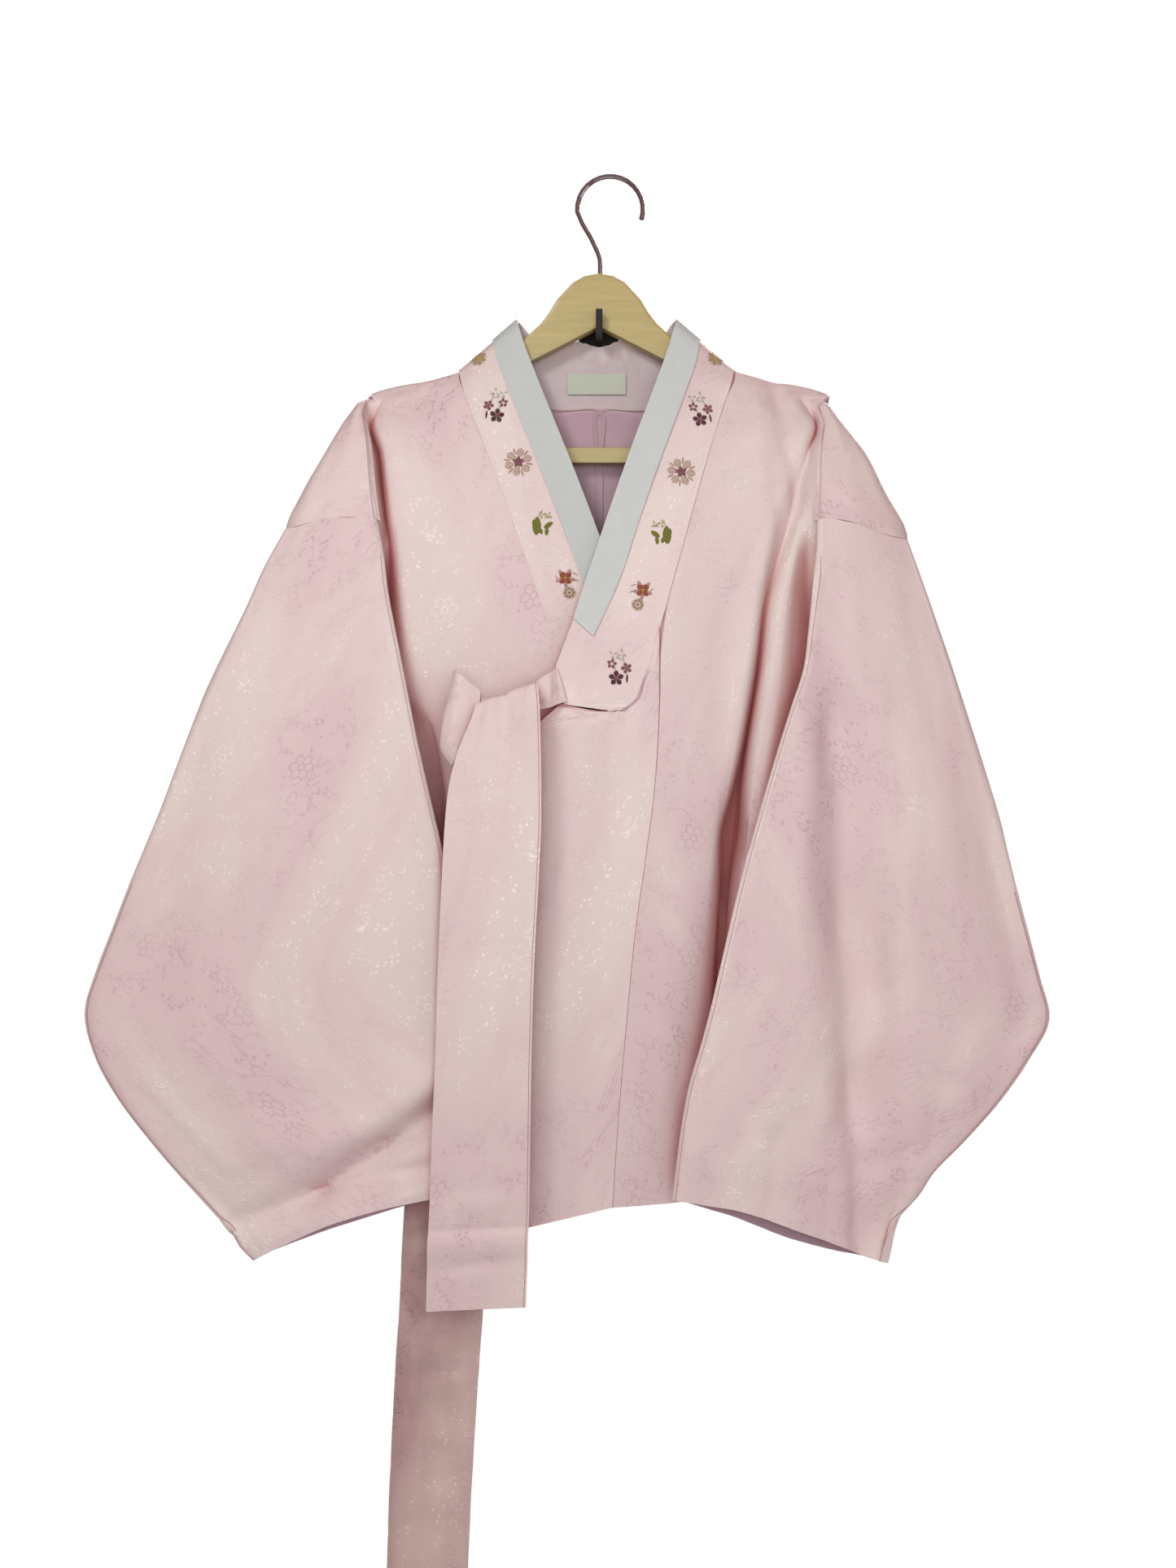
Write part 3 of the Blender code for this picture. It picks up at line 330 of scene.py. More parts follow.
# Ties and the bow
SHORT_TIE = [
    # left x, y, z, right x, y, z
    (-88, -92.4, -289, -46, -92, -274), (-88.5, -95.2, -285, -45, -94.6, -269.5),
    (-93, -98.6, -297, -43.5, -98, -282), (-101, -100.5, -317, -42.5, -99.5, -310),
    (-108, -101, -343, -42, -100, -343), (-111, -101, -370, -42, -100, -370),
    (-113, -101, -405, -43.5, -100, -405), (-116, -101, -472, -47, -100.5, -472),
    (-118, -101, -540, -49, -101, -540), (-121, -101, -610, -50, -101, -610),
    (-122.5, -101, -655, -50.8, -101, -655), (-123.5, -103, -672, -51.5, -102.5, -669),
    (-124, -101, -695, -52, -100.5, -692), (-124.5, -101.5, -721, -53, -101, -718),
]
LONG_TIE = [
    (-83, -84, -300.6, -62, -84, -300.6), (-90, -80, -322, -59, -81, -322),
    (-103, -74, -360, -58, -79, -360), (-113, -68, -400, -58.5, -77.5, -400),
    (-121, -66, -450, -62, -76.5, -450), (-131, -64.5, -530, -71, -75.5, -530),
    (-139, -64, -600, -79, -72.5, -600), (-144, -63.5, -654, -83.5, -69, -658),
    (-146, -64.5, -690, -85, -70, -697), (-147.5, -63, -723, -86, -66.5, -732),
    (-150, -66, -765, -88.5, -70, -768), (-152.5, -63, -808, -91, -67, -806),
    (-155, -66.5, -868, -94.5, -69, -868), (-157, -64, -923, -97, -67.5, -923),
    (-158.5, -66, -972, -99, -69, -972),
]
TIE_ROOT = [
    # upper x, y, z, lower x, y, z
    (-31, -73.2, -257, -24, -73.4, -282), (-35, -75.5, -260, -30, -76, -284),
    (-41, -79, -264, -38, -80, -287), (-50, -82.5, -270, -49, -83.5, -290),
    (-59.4, -84, -274, -59.4, -85, -293),
]
# Knot: x, y and z, from and to; its rows and sides, how it is drawn in, and how round its corners are
KNOT = (-86, -60, -90.8, -80.5, -300, -280)
KNOT_ROWS = 9
KNOT_SIDES = 24
KNOT_PINCH = 0.12
KNOT_WAVER = 0.05
KNOT_WAVES = 9
KNOT_CORNER = 0.7
LOOP_TIP = [
    # share across, x, z of the fold at the loop's tip
    (0, -105, -260), (0.3, -110, -281), (0.6, -114.5, -303), (0.82, -115, -317), (1, -107, -330),
]
LOOP_ROOT_X = -86.5
LOOP_ROOT_Z = (-275, -298)
LOOP_FRONT_Y = -90.0
LOOP_BACK_Y = -84.5
LOOP_TURNS = [
    # share of the way to the tip, y
    (0, LOOP_FRONT_Y), (0.4, LOOP_FRONT_Y - 1.5), (0.9, LOOP_FRONT_Y - 1),
    (1, (LOOP_FRONT_Y + LOOP_BACK_Y) / 2), (0.9, LOOP_BACK_Y), (0.4, LOOP_BACK_Y), (0, LOOP_BACK_Y),
]
ROOT_SAG = 1.0

# Label: x, y and z, from and to; its columns and rows
LABEL = (-24, 20.5, -17.6, -16.9, -44, -28)
LABEL_GRID = (8, 5)

# Steps between the named rows and columns of each piece
FINER = {
    # name: rows, columns
    "sleeve": (6, 4), "front": (6, 3), "back": (6, 4), "overlap_outer": (8, 5), "overlap_inner": (4, 4),
    "collar": (12, 6), "collar_strip": (6, 6), "tie_short": (8, 8), "tie_long": (8, 8),
    "tie_root": (5, 5), "bow_loop": (6, 5), "bow_knot": (3, 3), "neck_label": (3, 4),
}

# Creases placed one by one: a soft trough where the depth is positive, and a ridge where it is not
CREASES = {
    "sleeve_left": [
        # x, z of one end, x, z of the other, half width, depth
        (-262, -662, -200, -636, 6, 4.2), (-206, -640, -156, -606, 7, 6.6),
        (-156, -606, -112, -576, 10, 7.6), (-240, -636, -132, -566, 9, -2.8),
        (-250, -676, -120, -634, 7, -2.6), (-165, -628, -112, -616, 4, 2.2),
        (-290, -560, -250, -640, 12, 0.9), (-182, -200, -190, -300, 7, 0.9),
        (-226, -205, -262, -330, 9, 0.8), (-300, -420, -322, -505, 6, 0.9),
        (-160, -360, -150, -470, 8, 0.8), (-250, -480, -235, -560, 10, 0.7),
        (-338, -520, -300, -580, 6, 0.9), (-120, -500, -140, -560, 5, 0.7),
        (-205, -165, -200, -195, 3, 0.6), (-330, -560, -270, -620, 5, -0.9),
    ],
    "sleeve_right": [
        (174, -310, 183, -440, 15, 6.5), (183, -440, 190, -560, 18, 9.5),
        (190, -560, 194, -672, 17, 10), (168, -200, 174, -300, 11, 1.6),
        (222, -400, 230, -660, 11, -2.8), (146, -380, 150, -520, 10, -2.2),
        (128, -600, 122, -660, 5, 1.8), (146, -610, 142, -670, 5, -1.8), (168, -600, 164, -670, 5, 2),
        (182, -620, 180, -680, 4, -1.6), (164, -380, 150, -470, 6, 0.9), (120, -560, 100, -620, 6, 1),
        (236, -360, 250, -470, 6, 0.8), (296, -410, 314, -480, 4, 1.3), (262, -520, 240, -600, 6, 1),
        (226, -200, 244, -300, 8, 0.9), (176, -190, 182, -260, 6, 0.8), (150, -590, 140, -650, 6, 0.9),
        (90, -520, 110, -590, 5, 0.9),
    ],
    "front_left": [
        (-112, -70, -98, -170, 10, 0.8), (-136, -140, -128, -240, 8, 0.7),
        (-60, -200, -76, -268, 7, 0.7), (-40, -330, -44, -520, 9, 0.6), (-30, -560, -34, -640, 7, 0.8),
    ],
    "front_right": [
        (134, -50, 148, -130, 6, 2.4), (118, -52, 124, -150, 7, -1.4), (126, -150, 108, -260, 5, -2),
        (104, -60, 92, -170, 9, 0.8), (70, -190, 62, -300, 8, 0.7), (40, -420, 34, -560, 8, 0.7),
        (60, -560, 66, -640, 6, 0.9), (92, -240, 97, -380, 12, 2.6), (97, -380, 84, -540, 13, 3.6),
    ],
    "overlap_outer": [
        (4, -330, 0, -430, 8, 0.5), (-20, -470, -26, -600, 8, 0.7), (-2, -600, 6, -664, 6, 0.8),
    ],
    "tie_short": [
        (-122, -648, -50, -640, 5, -2.2), (-122, -664, -52, -660, 4, 2.6),
        (-122, -690, -52, -684, 5, 2), (-87, -290, -93, -318, 3.6, 3),
        (-78, -288, -84, -316, 4.5, -1.6), (-70, -284, -60, -330, 6, 1.6),
        (-58, -280, -50, -320, 5, -1), (-110, -352, -70, -346, 6, 0.6),
        (-116, -470, -56, -462, 9, 0.7), (-118, -560, -60, -566, 9, -0.8),
        (-120, -610, -56, -604, 7, 0.9),
    ],
    "tie_long": [
        (-150, -704, -86, -712, 4, 2.6), (-152, -740, -108, -732, 4, 3.2),
        (-130, -762, -90, -750, 4, -2.2), (-154, -780, -90, -772, 4.5, 3),
        (-156, -848, -116, -838, 4, 3.2), (-130, -858, -94, -846, 4, 2.8),
        (-157, -896, -96, -886, 4, 2.8), (-157, -944, -98, -930, 4.5, 3.2),
        (-140, -916, -97, -908, 4, -2), (-150, -820, -92, -826, 7, -1.8),
        (-156, -870, -96, -868, 7, -1.8),
    ],
    "collar": [
        (-18, -4, -22, -20, 2.2, 2.2), (-10, -2, -8, -16, 2, 3), (-3, -2, -5, -22, 1.8, 3.4),
        (4, -3, 8, -18, 2, 3.2), (12, -4, 16, -22, 1.9, 2.6), (20, -6, 23, -24, 2.4, 2),
        (-24, -24, 24, -21, 2.2, 1.6), (-20, -36, 18, -33, 2.4, 1.1),
    ],
    "tie_root": [
        (-44, -262, -43, -288, 2.2, 4), (-37, -258, -37, -286, 2, -2),
        (-31, -258, -29, -282, 1.8, 1.6),
    ],
    "bow_loop": [
        (-98, -262, -91, -282, 2.2, 2.2), (-106, -272, -111, -306, 2.4, 0.9),
        (-100, -300, -93, -306, 3, -1), (-104, -318, -96, -312, 2.4, 1.2),
    ],
    "back_left": [
        (-60, -60, -54, -200, 12, 0.9), (-120, -90, -128, -260, 12, 0.8),
        (-30, -330, -36, -560, 12, 0.8), (-96, -360, -104, -600, 12, 0.9),
        (-146, -300, -150, -560, 9, 0.9),
    ],
    "back_right": [
        (56, -70, 62, -220, 12, 0.9), (112, -90, 120, -240, 12, 0.8), (26, -300, 34, -520, 12, 0.8),
        (92, -380, 100, -610, 12, 0.9), (142, -320, 150, -590, 9, 0.9),
    ],
}
UNDULATION = {
    # name: height, length of the faint waves that every hanging cloth has
    "sleeve": (1.5, 80), "front": (0.9, 60), "back": (1, 90), "overlap_outer": (0.5, 70),
    "overlap_inner": (0.5, 70), "tie_short": (0.5, 60), "tie_long": (3, 36), "tie_root": (0.4, 20),
    "bow_loop": (0.8, 22), "collar": (0.3, 40), "collar_strip": (0.15, 60), "bow_knot": (0.5, 12),
    "neck_label": (0.25, 20),
}
WAVE_STRETCH = 1.6  # the waves are longer down the cloth than across it
FADE_STEPS = 9  # steps over which waves and creases fade towards an edge, where the seams have to meet
CREASE_AT_EDGE = 0.3  # share of a crease's depth that is left at the edge
FOLLOW = 0.75  # share of a crease by which a sleeve's hidden layer moves back with the one that shows
TUCK = [
    # how far past the seam, how far under
    (0.25, 1.1), (3.5, 1.7),
]
FOLD_TUCK = [(0.5, 0.9), (1.2, 2.6), (4, 4.4)]
LEAST_TUCK = 0.06  # share of a fold's tuck where it lies over the hanger's board
COLLAR_LIP = [(0.8, -0.35), (1.5, -0.25)]

# The collar's upper edge is gathered in two small humps at the back of the neck
NECK_BACK_Y = -18.0
NECK_BUNCH = 15.0
NECK_BUNCH_WIDTH = 8.0
NECK_RISE = 4.2
NECK_GATHER = 5.0
NECK_GATHER_PLACE = 3.0

# How far the hidden edge of each cuff hangs below the one that shows
CUFF_SAG = {"left": 7.6, "right": 12.5}
CUFF_SAG_POWER = 6

# Embroidery on the collar band, placed by the photo's pixels and sewn to the band's own surface
PHOTO_MIDDLE = (722.5, 963.5)
PIXEL_AT_BOARD = 0.62
BOARD_FRONT_DISTANCE = 1300.0
MOTIFS = [
    # px, py, motif, turn in degrees, side that it faces
    (588, 441, "gold", 25, 1), (608, 498, "plum", -8, 1), (637, 568, "blossom", 0, 1),
    (666, 643, "leaf", -14, 1), (695, 716, "pansy", 4, 1), (879, 441, "gold", -25, -1),
    (862, 503, "plum", 10, -1), (837, 580, "blossom", 12, -1), (813, 654, "leaf", 14, -1),
    (789, 731, "pansy", -8, -1), (762, 820, "plum", 0, -1),
]
MOTIF_SIZE = {"plum": 1.22}
RINGS = {
    # motif: colour, petals, middle right and up, inner radius, outer radius, petal width, first angle
    "gold": [
        ("gold", 7, 0, 0, 1.8, 6.6, 2.6, 10), ("beige", 7, 0, 0, 3.0, 7.4, 1.0, 35),
        ("yellow", 5, 0, 0, 0, 2.2, 1.6, 0),
    ],
    "blossom": [
        ("beige", 6, 0, 0, 4.2, 10.6, 5.2, 20), ("gold", 12, 0, 0, 4.6, 9.6, 0.8, 5),
        ("rose", 6, 0, 0, 6.0, 11.4, 1.3, 50), ("gold", 9, 0, 0, 3.8, 5.0, 0.9, 0),
        ("mauve", 5, 0, 0, 0.4, 4.0, 3.1, 18), ("plum", 5, 0, 0, 0.2, 1.6, 0.9, 54),
    ],
    "leaf": [
        ("lime", 3, -1.5, 6.0, 0.4, 3.2, 1.6, 30), ("lime", 3, 3.5, 7.0, 0.4, 2.6, 1.3, 80),
    ],
    "pansy": [
        ("rose", 5, 0, 3.5, 3.0, 7.6, 2.6, 54), ("orange", 4, 0, 3.5, 0.6, 5.6, 4.4, 40),
        ("gold", 4, 0, 3.5, 0.4, 4.2, 1.0, 85), ("yellow", 4, 0, 3.5, 0, 1.6, 1.2, 0),
        ("gold", 8, 2.2, -7.8, 2.2, 4.6, 1.5, 0), ("beige", 8, 2.2, -7.8, 1.0, 5.2, 0.7, 22),
        ("plum", 3, 2.2, -7.8, 0, 0.9, 0.8, 0),
    ],
    "plum": [
        ("plum", 5, 2.4, -6.6, 1.2, 4.6, 3.1, 18), ("mauve", 5, 2.4, -6.6, 0, 1.5, 1.0, 54),
        ("mauve", 5, -3.8, -0.6, 0.9, 3.4, 2.2, 0), ("plum", 3, -3.8, -0.6, 0, 1.0, 0.8, 20),
        ("mauve", 5, 5.0, 2.0, 0.8, 3.0, 1.9, 30), ("sprig", 3, -1.0, 8.2, 0.8, 3.4, 1.1, 90),
        ("sprig", 3, 4.4, 7.8, 0.6, 2.8, 1.0, 40),
    ],
}
STROKES = {
    # motif: colour, start right and up, end right and up, width
    "leaf": [
        ("green", -2.0, -9.5, -4.5, 3.5, 6.4), ("green", -1.0, -4.0, 2.0, -8.0, 3.0),
        ("green", 2.5, -3.2, 7.6, 2.4, 3.6), ("green", 4.5, -2.2, 5.4, -8.4, 2.8),
        ("moss", -3.0, -5.5, -4.0, -0.5, 1.2), ("moss", -6.4, -3.0, -6.8, 1.0, 1.1),
        ("lime", -4.0, 4.0, -2.0, 9.6, 1.2), ("lime", 0.5, 4.6, 6.8, 6.2, 1.3),
    ],
    "pansy": [
        ("beige", -7.4, 6.0, -5.0, 2.0, 0.8), ("beige", 5.2, 7.2, 9.4, 5.0, 0.8),
        ("beige", 6.4, 2.2, 9.8, 0.2, 0.8), ("sprig", 1.0, -2.6, 2.0, -4.4, 0.9),
    ],
    "plum": [
        ("sprig", -2.6, 2.2, -1.4, 7.6, 0.8), ("sprig", 3.0, -3.0, 4.2, 7.0, 0.8),
        ("plum", -4.2, -4.2, -4.0, -9.4, 1.2), ("sprig", -1.0, 4.6, 2.6, 6.0, 0.9),
    ],
}
THREADS = {
    # colour: red, green, blue
    "gold": (0.50, 0.38, 0.13), "beige": (0.74, 0.60, 0.50), "yellow": (0.72, 0.47, 0.07),
    "rose": (0.70, 0.40, 0.38), "mauve": (0.30, 0.10, 0.13), "plum": (0.085, 0.010, 0.022),
    "green": (0.23, 0.26, 0.010), "moss": (0.12, 0.15, 0.008), "lime": (0.60, 0.62, 0.26),
    "orange": (0.42, 0.09, 0.025), "sprig": (0.62, 0.66, 0.52),
}
STITCH_LIFT = 0.2
STITCH_CROWN = 0.55
STITCH_LAYER = 0.006  # each petal of a motif lies this much over the one before
STITCH_PROBE = 12  # how far out the band's surface is looked for
# Painted shade in the grooves between the strands of thread
STITCH_GROOVE_SHADE = 0.62  # how dark the thread is between two strands
# A petal's outline: width at its tips, where on a half wave it starts and how far it goes, its roundness
PETAL_TIP = 0.06
PETAL_FROM = 0.05
PETAL_RUN = 0.92
PETAL_ROUND = 0.7

# Sewn lines that show: rows of fine stitches, a fixed way in from an edge
LINE_RADIUS = 0.42
FINE_RADIUS = 0.26
SEAM_LINE = 3.4
FOLD_LINE = 3.2
FOLD_LINE_FROM = 8  # rows below the armhole seam
EDGE_LINES = [
    # piece, column of its edge, which way is inwards, how far in
    ("tie_short", -1, -1, 1.6), ("front_right", 2, 1, 0.5),
]

# The cloth on each side, where it isn't silk with its lining inside
# The long tie's outside is a darker copy of the silk: painted shade
OUTSIDES = {"tie_long": "silk_painted_shade"}
# The long tie's inside is the same darker copy: painted shade
INSIDES = {
    "collar": "collar_lining", "tie_short": "silk", "tie_long": "silk_painted_shade", "tie_root": "silk",
    "bow_loop": "silk",
}
SHARP = math.radians(50)  # corners sharper than this aren't shaded smooth

# Silk: mauve and cream of the ground, then of the woven figure; the cream is partly painted sheen and the
# mauve partly painted shade. The long tie has a darker copy of the silk, painted shade for a tie that hangs
# low and behind.
SILK = (0.735, 0.60, 0.612), (0.785, 0.712, 0.672), (0.56, 0.38, 0.41), (0.98, 0.95, 0.93)
SILK_PAINTED_SHADE = (0.46, 0.31, 0.305), (0.67, 0.53, 0.495), (0.30, 0.17, 0.18), (0.86, 0.75, 0.71)
# Painted shade: in deep folds the colour is painted dark red where other cloth is near, standing for light
# that goes from cloth to cloth and turns red: how near, in metres, and how open
FOLD_SHADE_REACH = 0.05
FOLD_SHADE_OPEN = (0.14, 0.76)
FOLD_SHADE_RED = (0.58, 0.20, 0.20)
# The figure's colour is a painted highlight in the cream streaks and painted shade in the mauve ones
FIGURE_SHOWS = 0.62  # how far the figure's colour stands out from the ground
# Dots and large flowers, to a centimetre of cloth
DOT_SCALE = 2.2
FLOWER_SCALE = 0.13

# Plain cloths: dark and pale colour, scale and detail of the patches, roughness, height of the weave
SHEEN = {"Sheen_Weight": 0.2, "Sheen_Roughness": 0.4}
LINING = (0.62, 0.43, 0.53), (0.70, 0.50, 0.57), 0.12, 2.0, 0.5, 0.00006, SHEEN
COLLAR_LINING = (0.86, 0.73, 0.76), (0.93, 0.83, 0.84), 0.8, 3.0, 0.6, 0.00008, SHEEN
STRIP_WHITE = (0.79, 0.91, 0.88), (0.84, 0.95, 0.92), 0.5, 2.0, 0.75, 0.00008, 22.0
# Speckled: dark and pale colour, roughness, height
SEAM_THREAD = (0.36, 0.19, 0.22), (0.52, 0.32, 0.34), 0.6, 0.0001
HOOK_PAINT = (0.003, 0.003, 0.004), (0.008, 0.008, 0.009), 0.5, 0.00006, {"Specular_IOR_Level": 0.3}

# Lights, in metres: place, what it is aimed at, size, power, colour
LIGHTS = {
    "key": ((-0.6, -1.2, 0.6), (0, 0, -0.4), 0.4, 8.4, (0.97, 1.0, 0.99)),
    "front": ((0.02, -1.35, -0.2), (0, 0, -0.5), 1.0, 8.2, (0.97, 1.0, 0.99)),
    "fill": ((1.6, -1.3, -0.2), (0, 0, -0.4), 1.2, 4, (0.97, 0.93, 1.0)),
    "back": ((0.6, 1.6, 0.9), (0, 0, -0.4), 1.2, 27, (1.0, 0.98, 0.97)),
}
ROOM = (1.0, 0.46, 0.43, 1)
ROOM_STRENGTH = 0.26
FLOOR_SIZE = 2.6
FLOOR_MIDDLE = (0, -0.65, -1.3)

pieces = {}
outsides = {}  # the outer face of each piece, as a grid of points


def finer(grid, by, closed=False):
    """by steps between each two rows of a grid, on smooth curves that never run past the rows."""
    if closed:
        p = np.concatenate([grid[-1:], grid, grid[:2]])
    else:
        p = np.concatenate([2 * grid[:1] - grid[1:2], grid, 2 * grid[-1:] - grid[-2:-1]])
    step = np.diff(p, axis=0)
    length = np.maximum(np.linalg.norm(step, axis=2, keepdims=True), 1e-6)
    slope = step / length
    lean = (slope[:-1] * length[1:] + slope[1:] * length[:-1]) / (length[:-1] + length[1:])
    rows = []
    for i in range(len(grid) if closed else len(grid) - 1):
        a, b, h = p[i + 1], p[i + 2], length[i + 1]
        for k in range(by):
            t = k / by
            rows.append(a * (2 * t ** 3 - 3 * t * t + 1) + b * (3 * t * t - 2 * t ** 3)
                        + h * (lean[i] * (t ** 3 - 2 * t * t + t) + lean[i + 1] * (t ** 3 - t * t)))
    if not closed:
        rows.append(grid[-1])
    return np.array(rows)


def grid_normals(grid, closed):
    """Unit normals of a grid, rows first: towards the viewer for rows down and columns right."""
    down = np.gradient(grid, axis=0)
    if closed:
        across = np.roll(grid, -1, axis=1) - np.roll(grid, 1, axis=1)
    else:
        across = np.gradient(grid, axis=1)
    normal = np.cross(down, across)
    return normal / np.maximum(np.linalg.norm(normal, axis=2, keepdims=True), 1e-9)


def kind_of(table, name):
    """The row of a table for a piece, or for its kind where left and right share one."""
    return table.get(name) or table.get(name.rsplit("_", 1)[0])


def relief(name, grid, normal, closed):
    """Moves a grid along its normals: the listed creases and the cloth's faint waves."""
    height, length = kind_of(UNDULATION, name)
    creases = CREASES.get(name, [])
    rows, columns = grid.shape[:2]
    for i in range(rows):
        for j in range(columns):
            x, y, z = grid[i, j]
            place = Vector((x / length, y / length, z / length / WAVE_STRETCH))
            edge = i if closed else min(i, j, columns - 1 - j)
            fade = min(1.0, edge / FADE_STEPS)
            move = height * noise.noise(place) * fade
            if creases:
                away = -FOLLOW if closed and normal[i, j][1] > 0 else 1.0
                move -= fold_depth(creases, x, z) * min(1.0, CREASE_AT_EDGE + fade) * away
            grid[i, j] += normal[i, j] * move
            if name == "collar" and y > NECK_BACK_Y:
                near = math.exp(-((abs(x) - NECK_BUNCH) / NECK_BUNCH_WIDTH) ** 2)
                near *= (1.0 - j / (columns - 1)) ** 2
                uneven = 1.0 + noise.noise(Vector((x / NECK_GATHER, 0.0, NECK_GATHER_PLACE)))
                grid[i, j][2] += near * NECK_RISE * uneven
    return grid


def lengths(grid, closed):
    """How far each point is along its row and down its column, on the flat cloth."""
    if closed:
        grid = np.concatenate([grid, grid[:, :1]], axis=1)
    across = np.linalg.norm(np.diff(grid, axis=1), axis=2)
    down = np.linalg.norm(np.diff(grid, axis=0), axis=2)
    along = np.concatenate([np.zeros((len(grid), 1)), np.cumsum(across, axis=1)], axis=1)
    middle = grid.shape[1] // 2
    along -= along[:, middle:middle + 1]
    fall = np.concatenate([np.zeros((1, grid.shape[1])), np.cumsum(down, axis=0)])
    return along, fall


def tucked(grid, normal, side, table, skip=0):
    """The seam allowance: more rows past a grid's top row, first column or last column."""
    if side != "top":
        grid, normal = grid.transpose(1, 0, 2), normal.transpose(1, 0, 2)
    if side == "last":
        grid, normal = grid[::-1], normal[::-1]
    way = grid[0] - grid[1]
    way /= np.maximum(np.linalg.norm(way, axis=1, keepdims=True), 1e-9)
    weight = np.ones(len(way))
    if skip:
        weight = np.clip((np.arange(len(way)) - skip) / FADE_STEPS, LEAST_TUCK, 1.0)
    weight = weight[:, None]
    more = [grid[0] + (way * run - normal[0] * drop) * weight for run, drop in reversed(table)]
    grid = np.concatenate([more, grid])
    normal = np.concatenate([np.repeat(normal[:1], len(more), axis=0), normal])
    if side == "last":
        grid, normal = grid[::-1], normal[::-1]
    if side != "top":
        grid, normal = grid.transpose(1, 0, 2), normal.transpose(1, 0, 2)
    return grid, normal


def make_piece(name, points, faces, materials, slots=(), flat=()):
    """A mesh as a piece of the part. flat holds each corner's place on the flat cloth."""
    mesh = bpy.data.meshes.new(name)
    mesh.from_pydata(points, [], faces)
    if flat:
        layer = mesh.uv_layers.new(name="cloth")
        layer.data.foreach_set("uv", [c / CM for face in flat for place in face for c in place])
        mesh.polygons.foreach_set("material_index", slots)
    mesh.shade_smooth()
    for item in materials:
        mesh.materials.append(item)
    piece = bpy.data.objects.new(name, mesh)
    bpy.context.scene.collection.objects.link(piece)
    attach(piece, "root")
    return piece


def wall(name, grid, thickness, finish, closed=False, missing=(), tucks=()):
    """A thin shell on a grid of points: the cloth outside, its lining inside and a rim between them."""
    down_by, across_by = kind_of(FINER, name)
    cells = len(grid) - 2, len(grid[0]) - (1 if closed else 2)
    grid = finer(np.array(grid, float), down_by)
    grid = finer(grid.transpose(1, 0, 2), across_by, closed).transpose(1, 0, 2)
    normal = grid_normals(grid, closed)
    grid = relief(name, grid.copy(), normal, closed)
    above = before = 0
    for side, table, *skip in tucks:
        grid, normal = tucked(grid, normal, side, table, *skip)
        above += len(table) if side == "top" else 0
        before += len(table) if side == "first" else 0
    rows, columns = grid.shape[:2]
    normal = grid_normals(grid, closed)
    sides = [grid + normal * thickness / 2, grid - normal * thickness / 2]
    outsides[name] = sides[0]
    points = np.concatenate([side.reshape(-1, 3) for side in sides]) * MM
    along, fall = lengths(grid, closed)
    half = rows * columns
    last = columns if closed else columns - 1
    faces = []
    flat = []
    slots = []
    edges = {}
    for i in range(rows - 1):
        for j in range(last):
            cell = (i - above) // down_by, (j - before) // across_by
            if tuple(min(max(c, 0), most) for c, most in zip(cell, cells)) in missing:
                continue
            k = (j + 1) % columns
            loop = [i * columns + j, (i + 1) * columns + j, (i + 1) * columns + k, i * columns + k]
            corners = [(i, j), (i + 1, j), (i + 1, j + 1), (i, j + 1)]
            place = [(along[c], -fall[c]) for c in corners]
            faces += [loop, [half + v for v in reversed(loop)]]
            flat += [place, place[::-1]]
            slots += [0, 1]
            for n, (a, b) in enumerate(zip(loop, loop[1:] + loop[:1])):
                edges[(a, b)] = (place[n], place[(n + 1) % 4])
    for (a, b), (one, two) in edges.items():
        if (b, a) not in edges:
            faces.append([b, a, half + a, half + b])
            flat.append([two, one, one, two])
            slots.append(0)
    used = sorted({v for face in faces for v in face})
    index = {v: n for n, v in enumerate(used)}
    kinds = OUTSIDES.get(name, finish), INSIDES.get(name, "lining" if finish == "silk" else finish)
    faces = [[index[v] for v in face] for face in faces]
    piece = make_piece(name + "_cloth", points[used], faces, map(material, kinds), slots, flat)
    piece.data.set_sharp_from_angle(angle=SHARP)
    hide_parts(name)
    pieces[name] = piece


def at(table, value, column=1):
    """Reads a column of a table at a value of its first one, with straight lines between rows."""
    rows = sorted(table)
    return float(np.interp(value, [r[0] for r in rows], [r[column] for r in rows]))


def place_at(table, z):
    """The point of a table of z, x, y at a height."""
    return np.array([at(table, z, 1), at(table, z, 2), z])


def seam_at(table, z):
    """The point of a table of share, x, y, z at a height."""
    return place_at([(row[3], row[1], row[2]) for row in table], z)


def smooth_line(points, steps):
    """Points on a smooth curve through the given ones: steps[i] intervals in stretch i."""
    p = np.array(points, float)
    p = np.vstack([2 * p[0] - p[1], p, 2 * p[-1] - p[-2]])
    line = []
    for i, count in enumerate(steps):
        a, b, c, d = p[i:i + 4]
        for k in range(count):
            t = k / count
            line.append(0.5 * (2 * b + (c - a) * t + (2 * a - 5 * b + 4 * c - d) * t * t
                               + (3 * b - a - 3 * c + d) * t ** 3))
    line.append(p[-2])
    return line


def step_towards(point, other, distance):
    """The point moved by a distance towards another."""
    point, other = np.array(point, float), np.array(other, float)
    way = other - point
    return point + way / np.linalg.norm(way) * distance


def fold_depth(folds, x, z):
    """Depth of the soft folds at a place: each is a straight trough or ridge with faded ends."""
    total = 0.0
    for x0, z0, x1, z1, half_width, depth in folds:
        run = math.hypot(x1 - x0, z1 - z0)
        ux, uz = (x1 - x0) / run, (z1 - z0) / run
        along = ((x - x0) * ux + (z - z0) * uz) / run
        off = (x - x0) * uz - (z - z0) * ux
        past = max(0.0, -along, along - 1.0) * run
        total += depth * math.exp(-(off / half_width) ** 2 - (past / (2.0 * half_width)) ** 2)
    return total


def shoulder_height(x):
    """Height of the shoulder line at x."""
    return at(SHOULDER, abs(x))


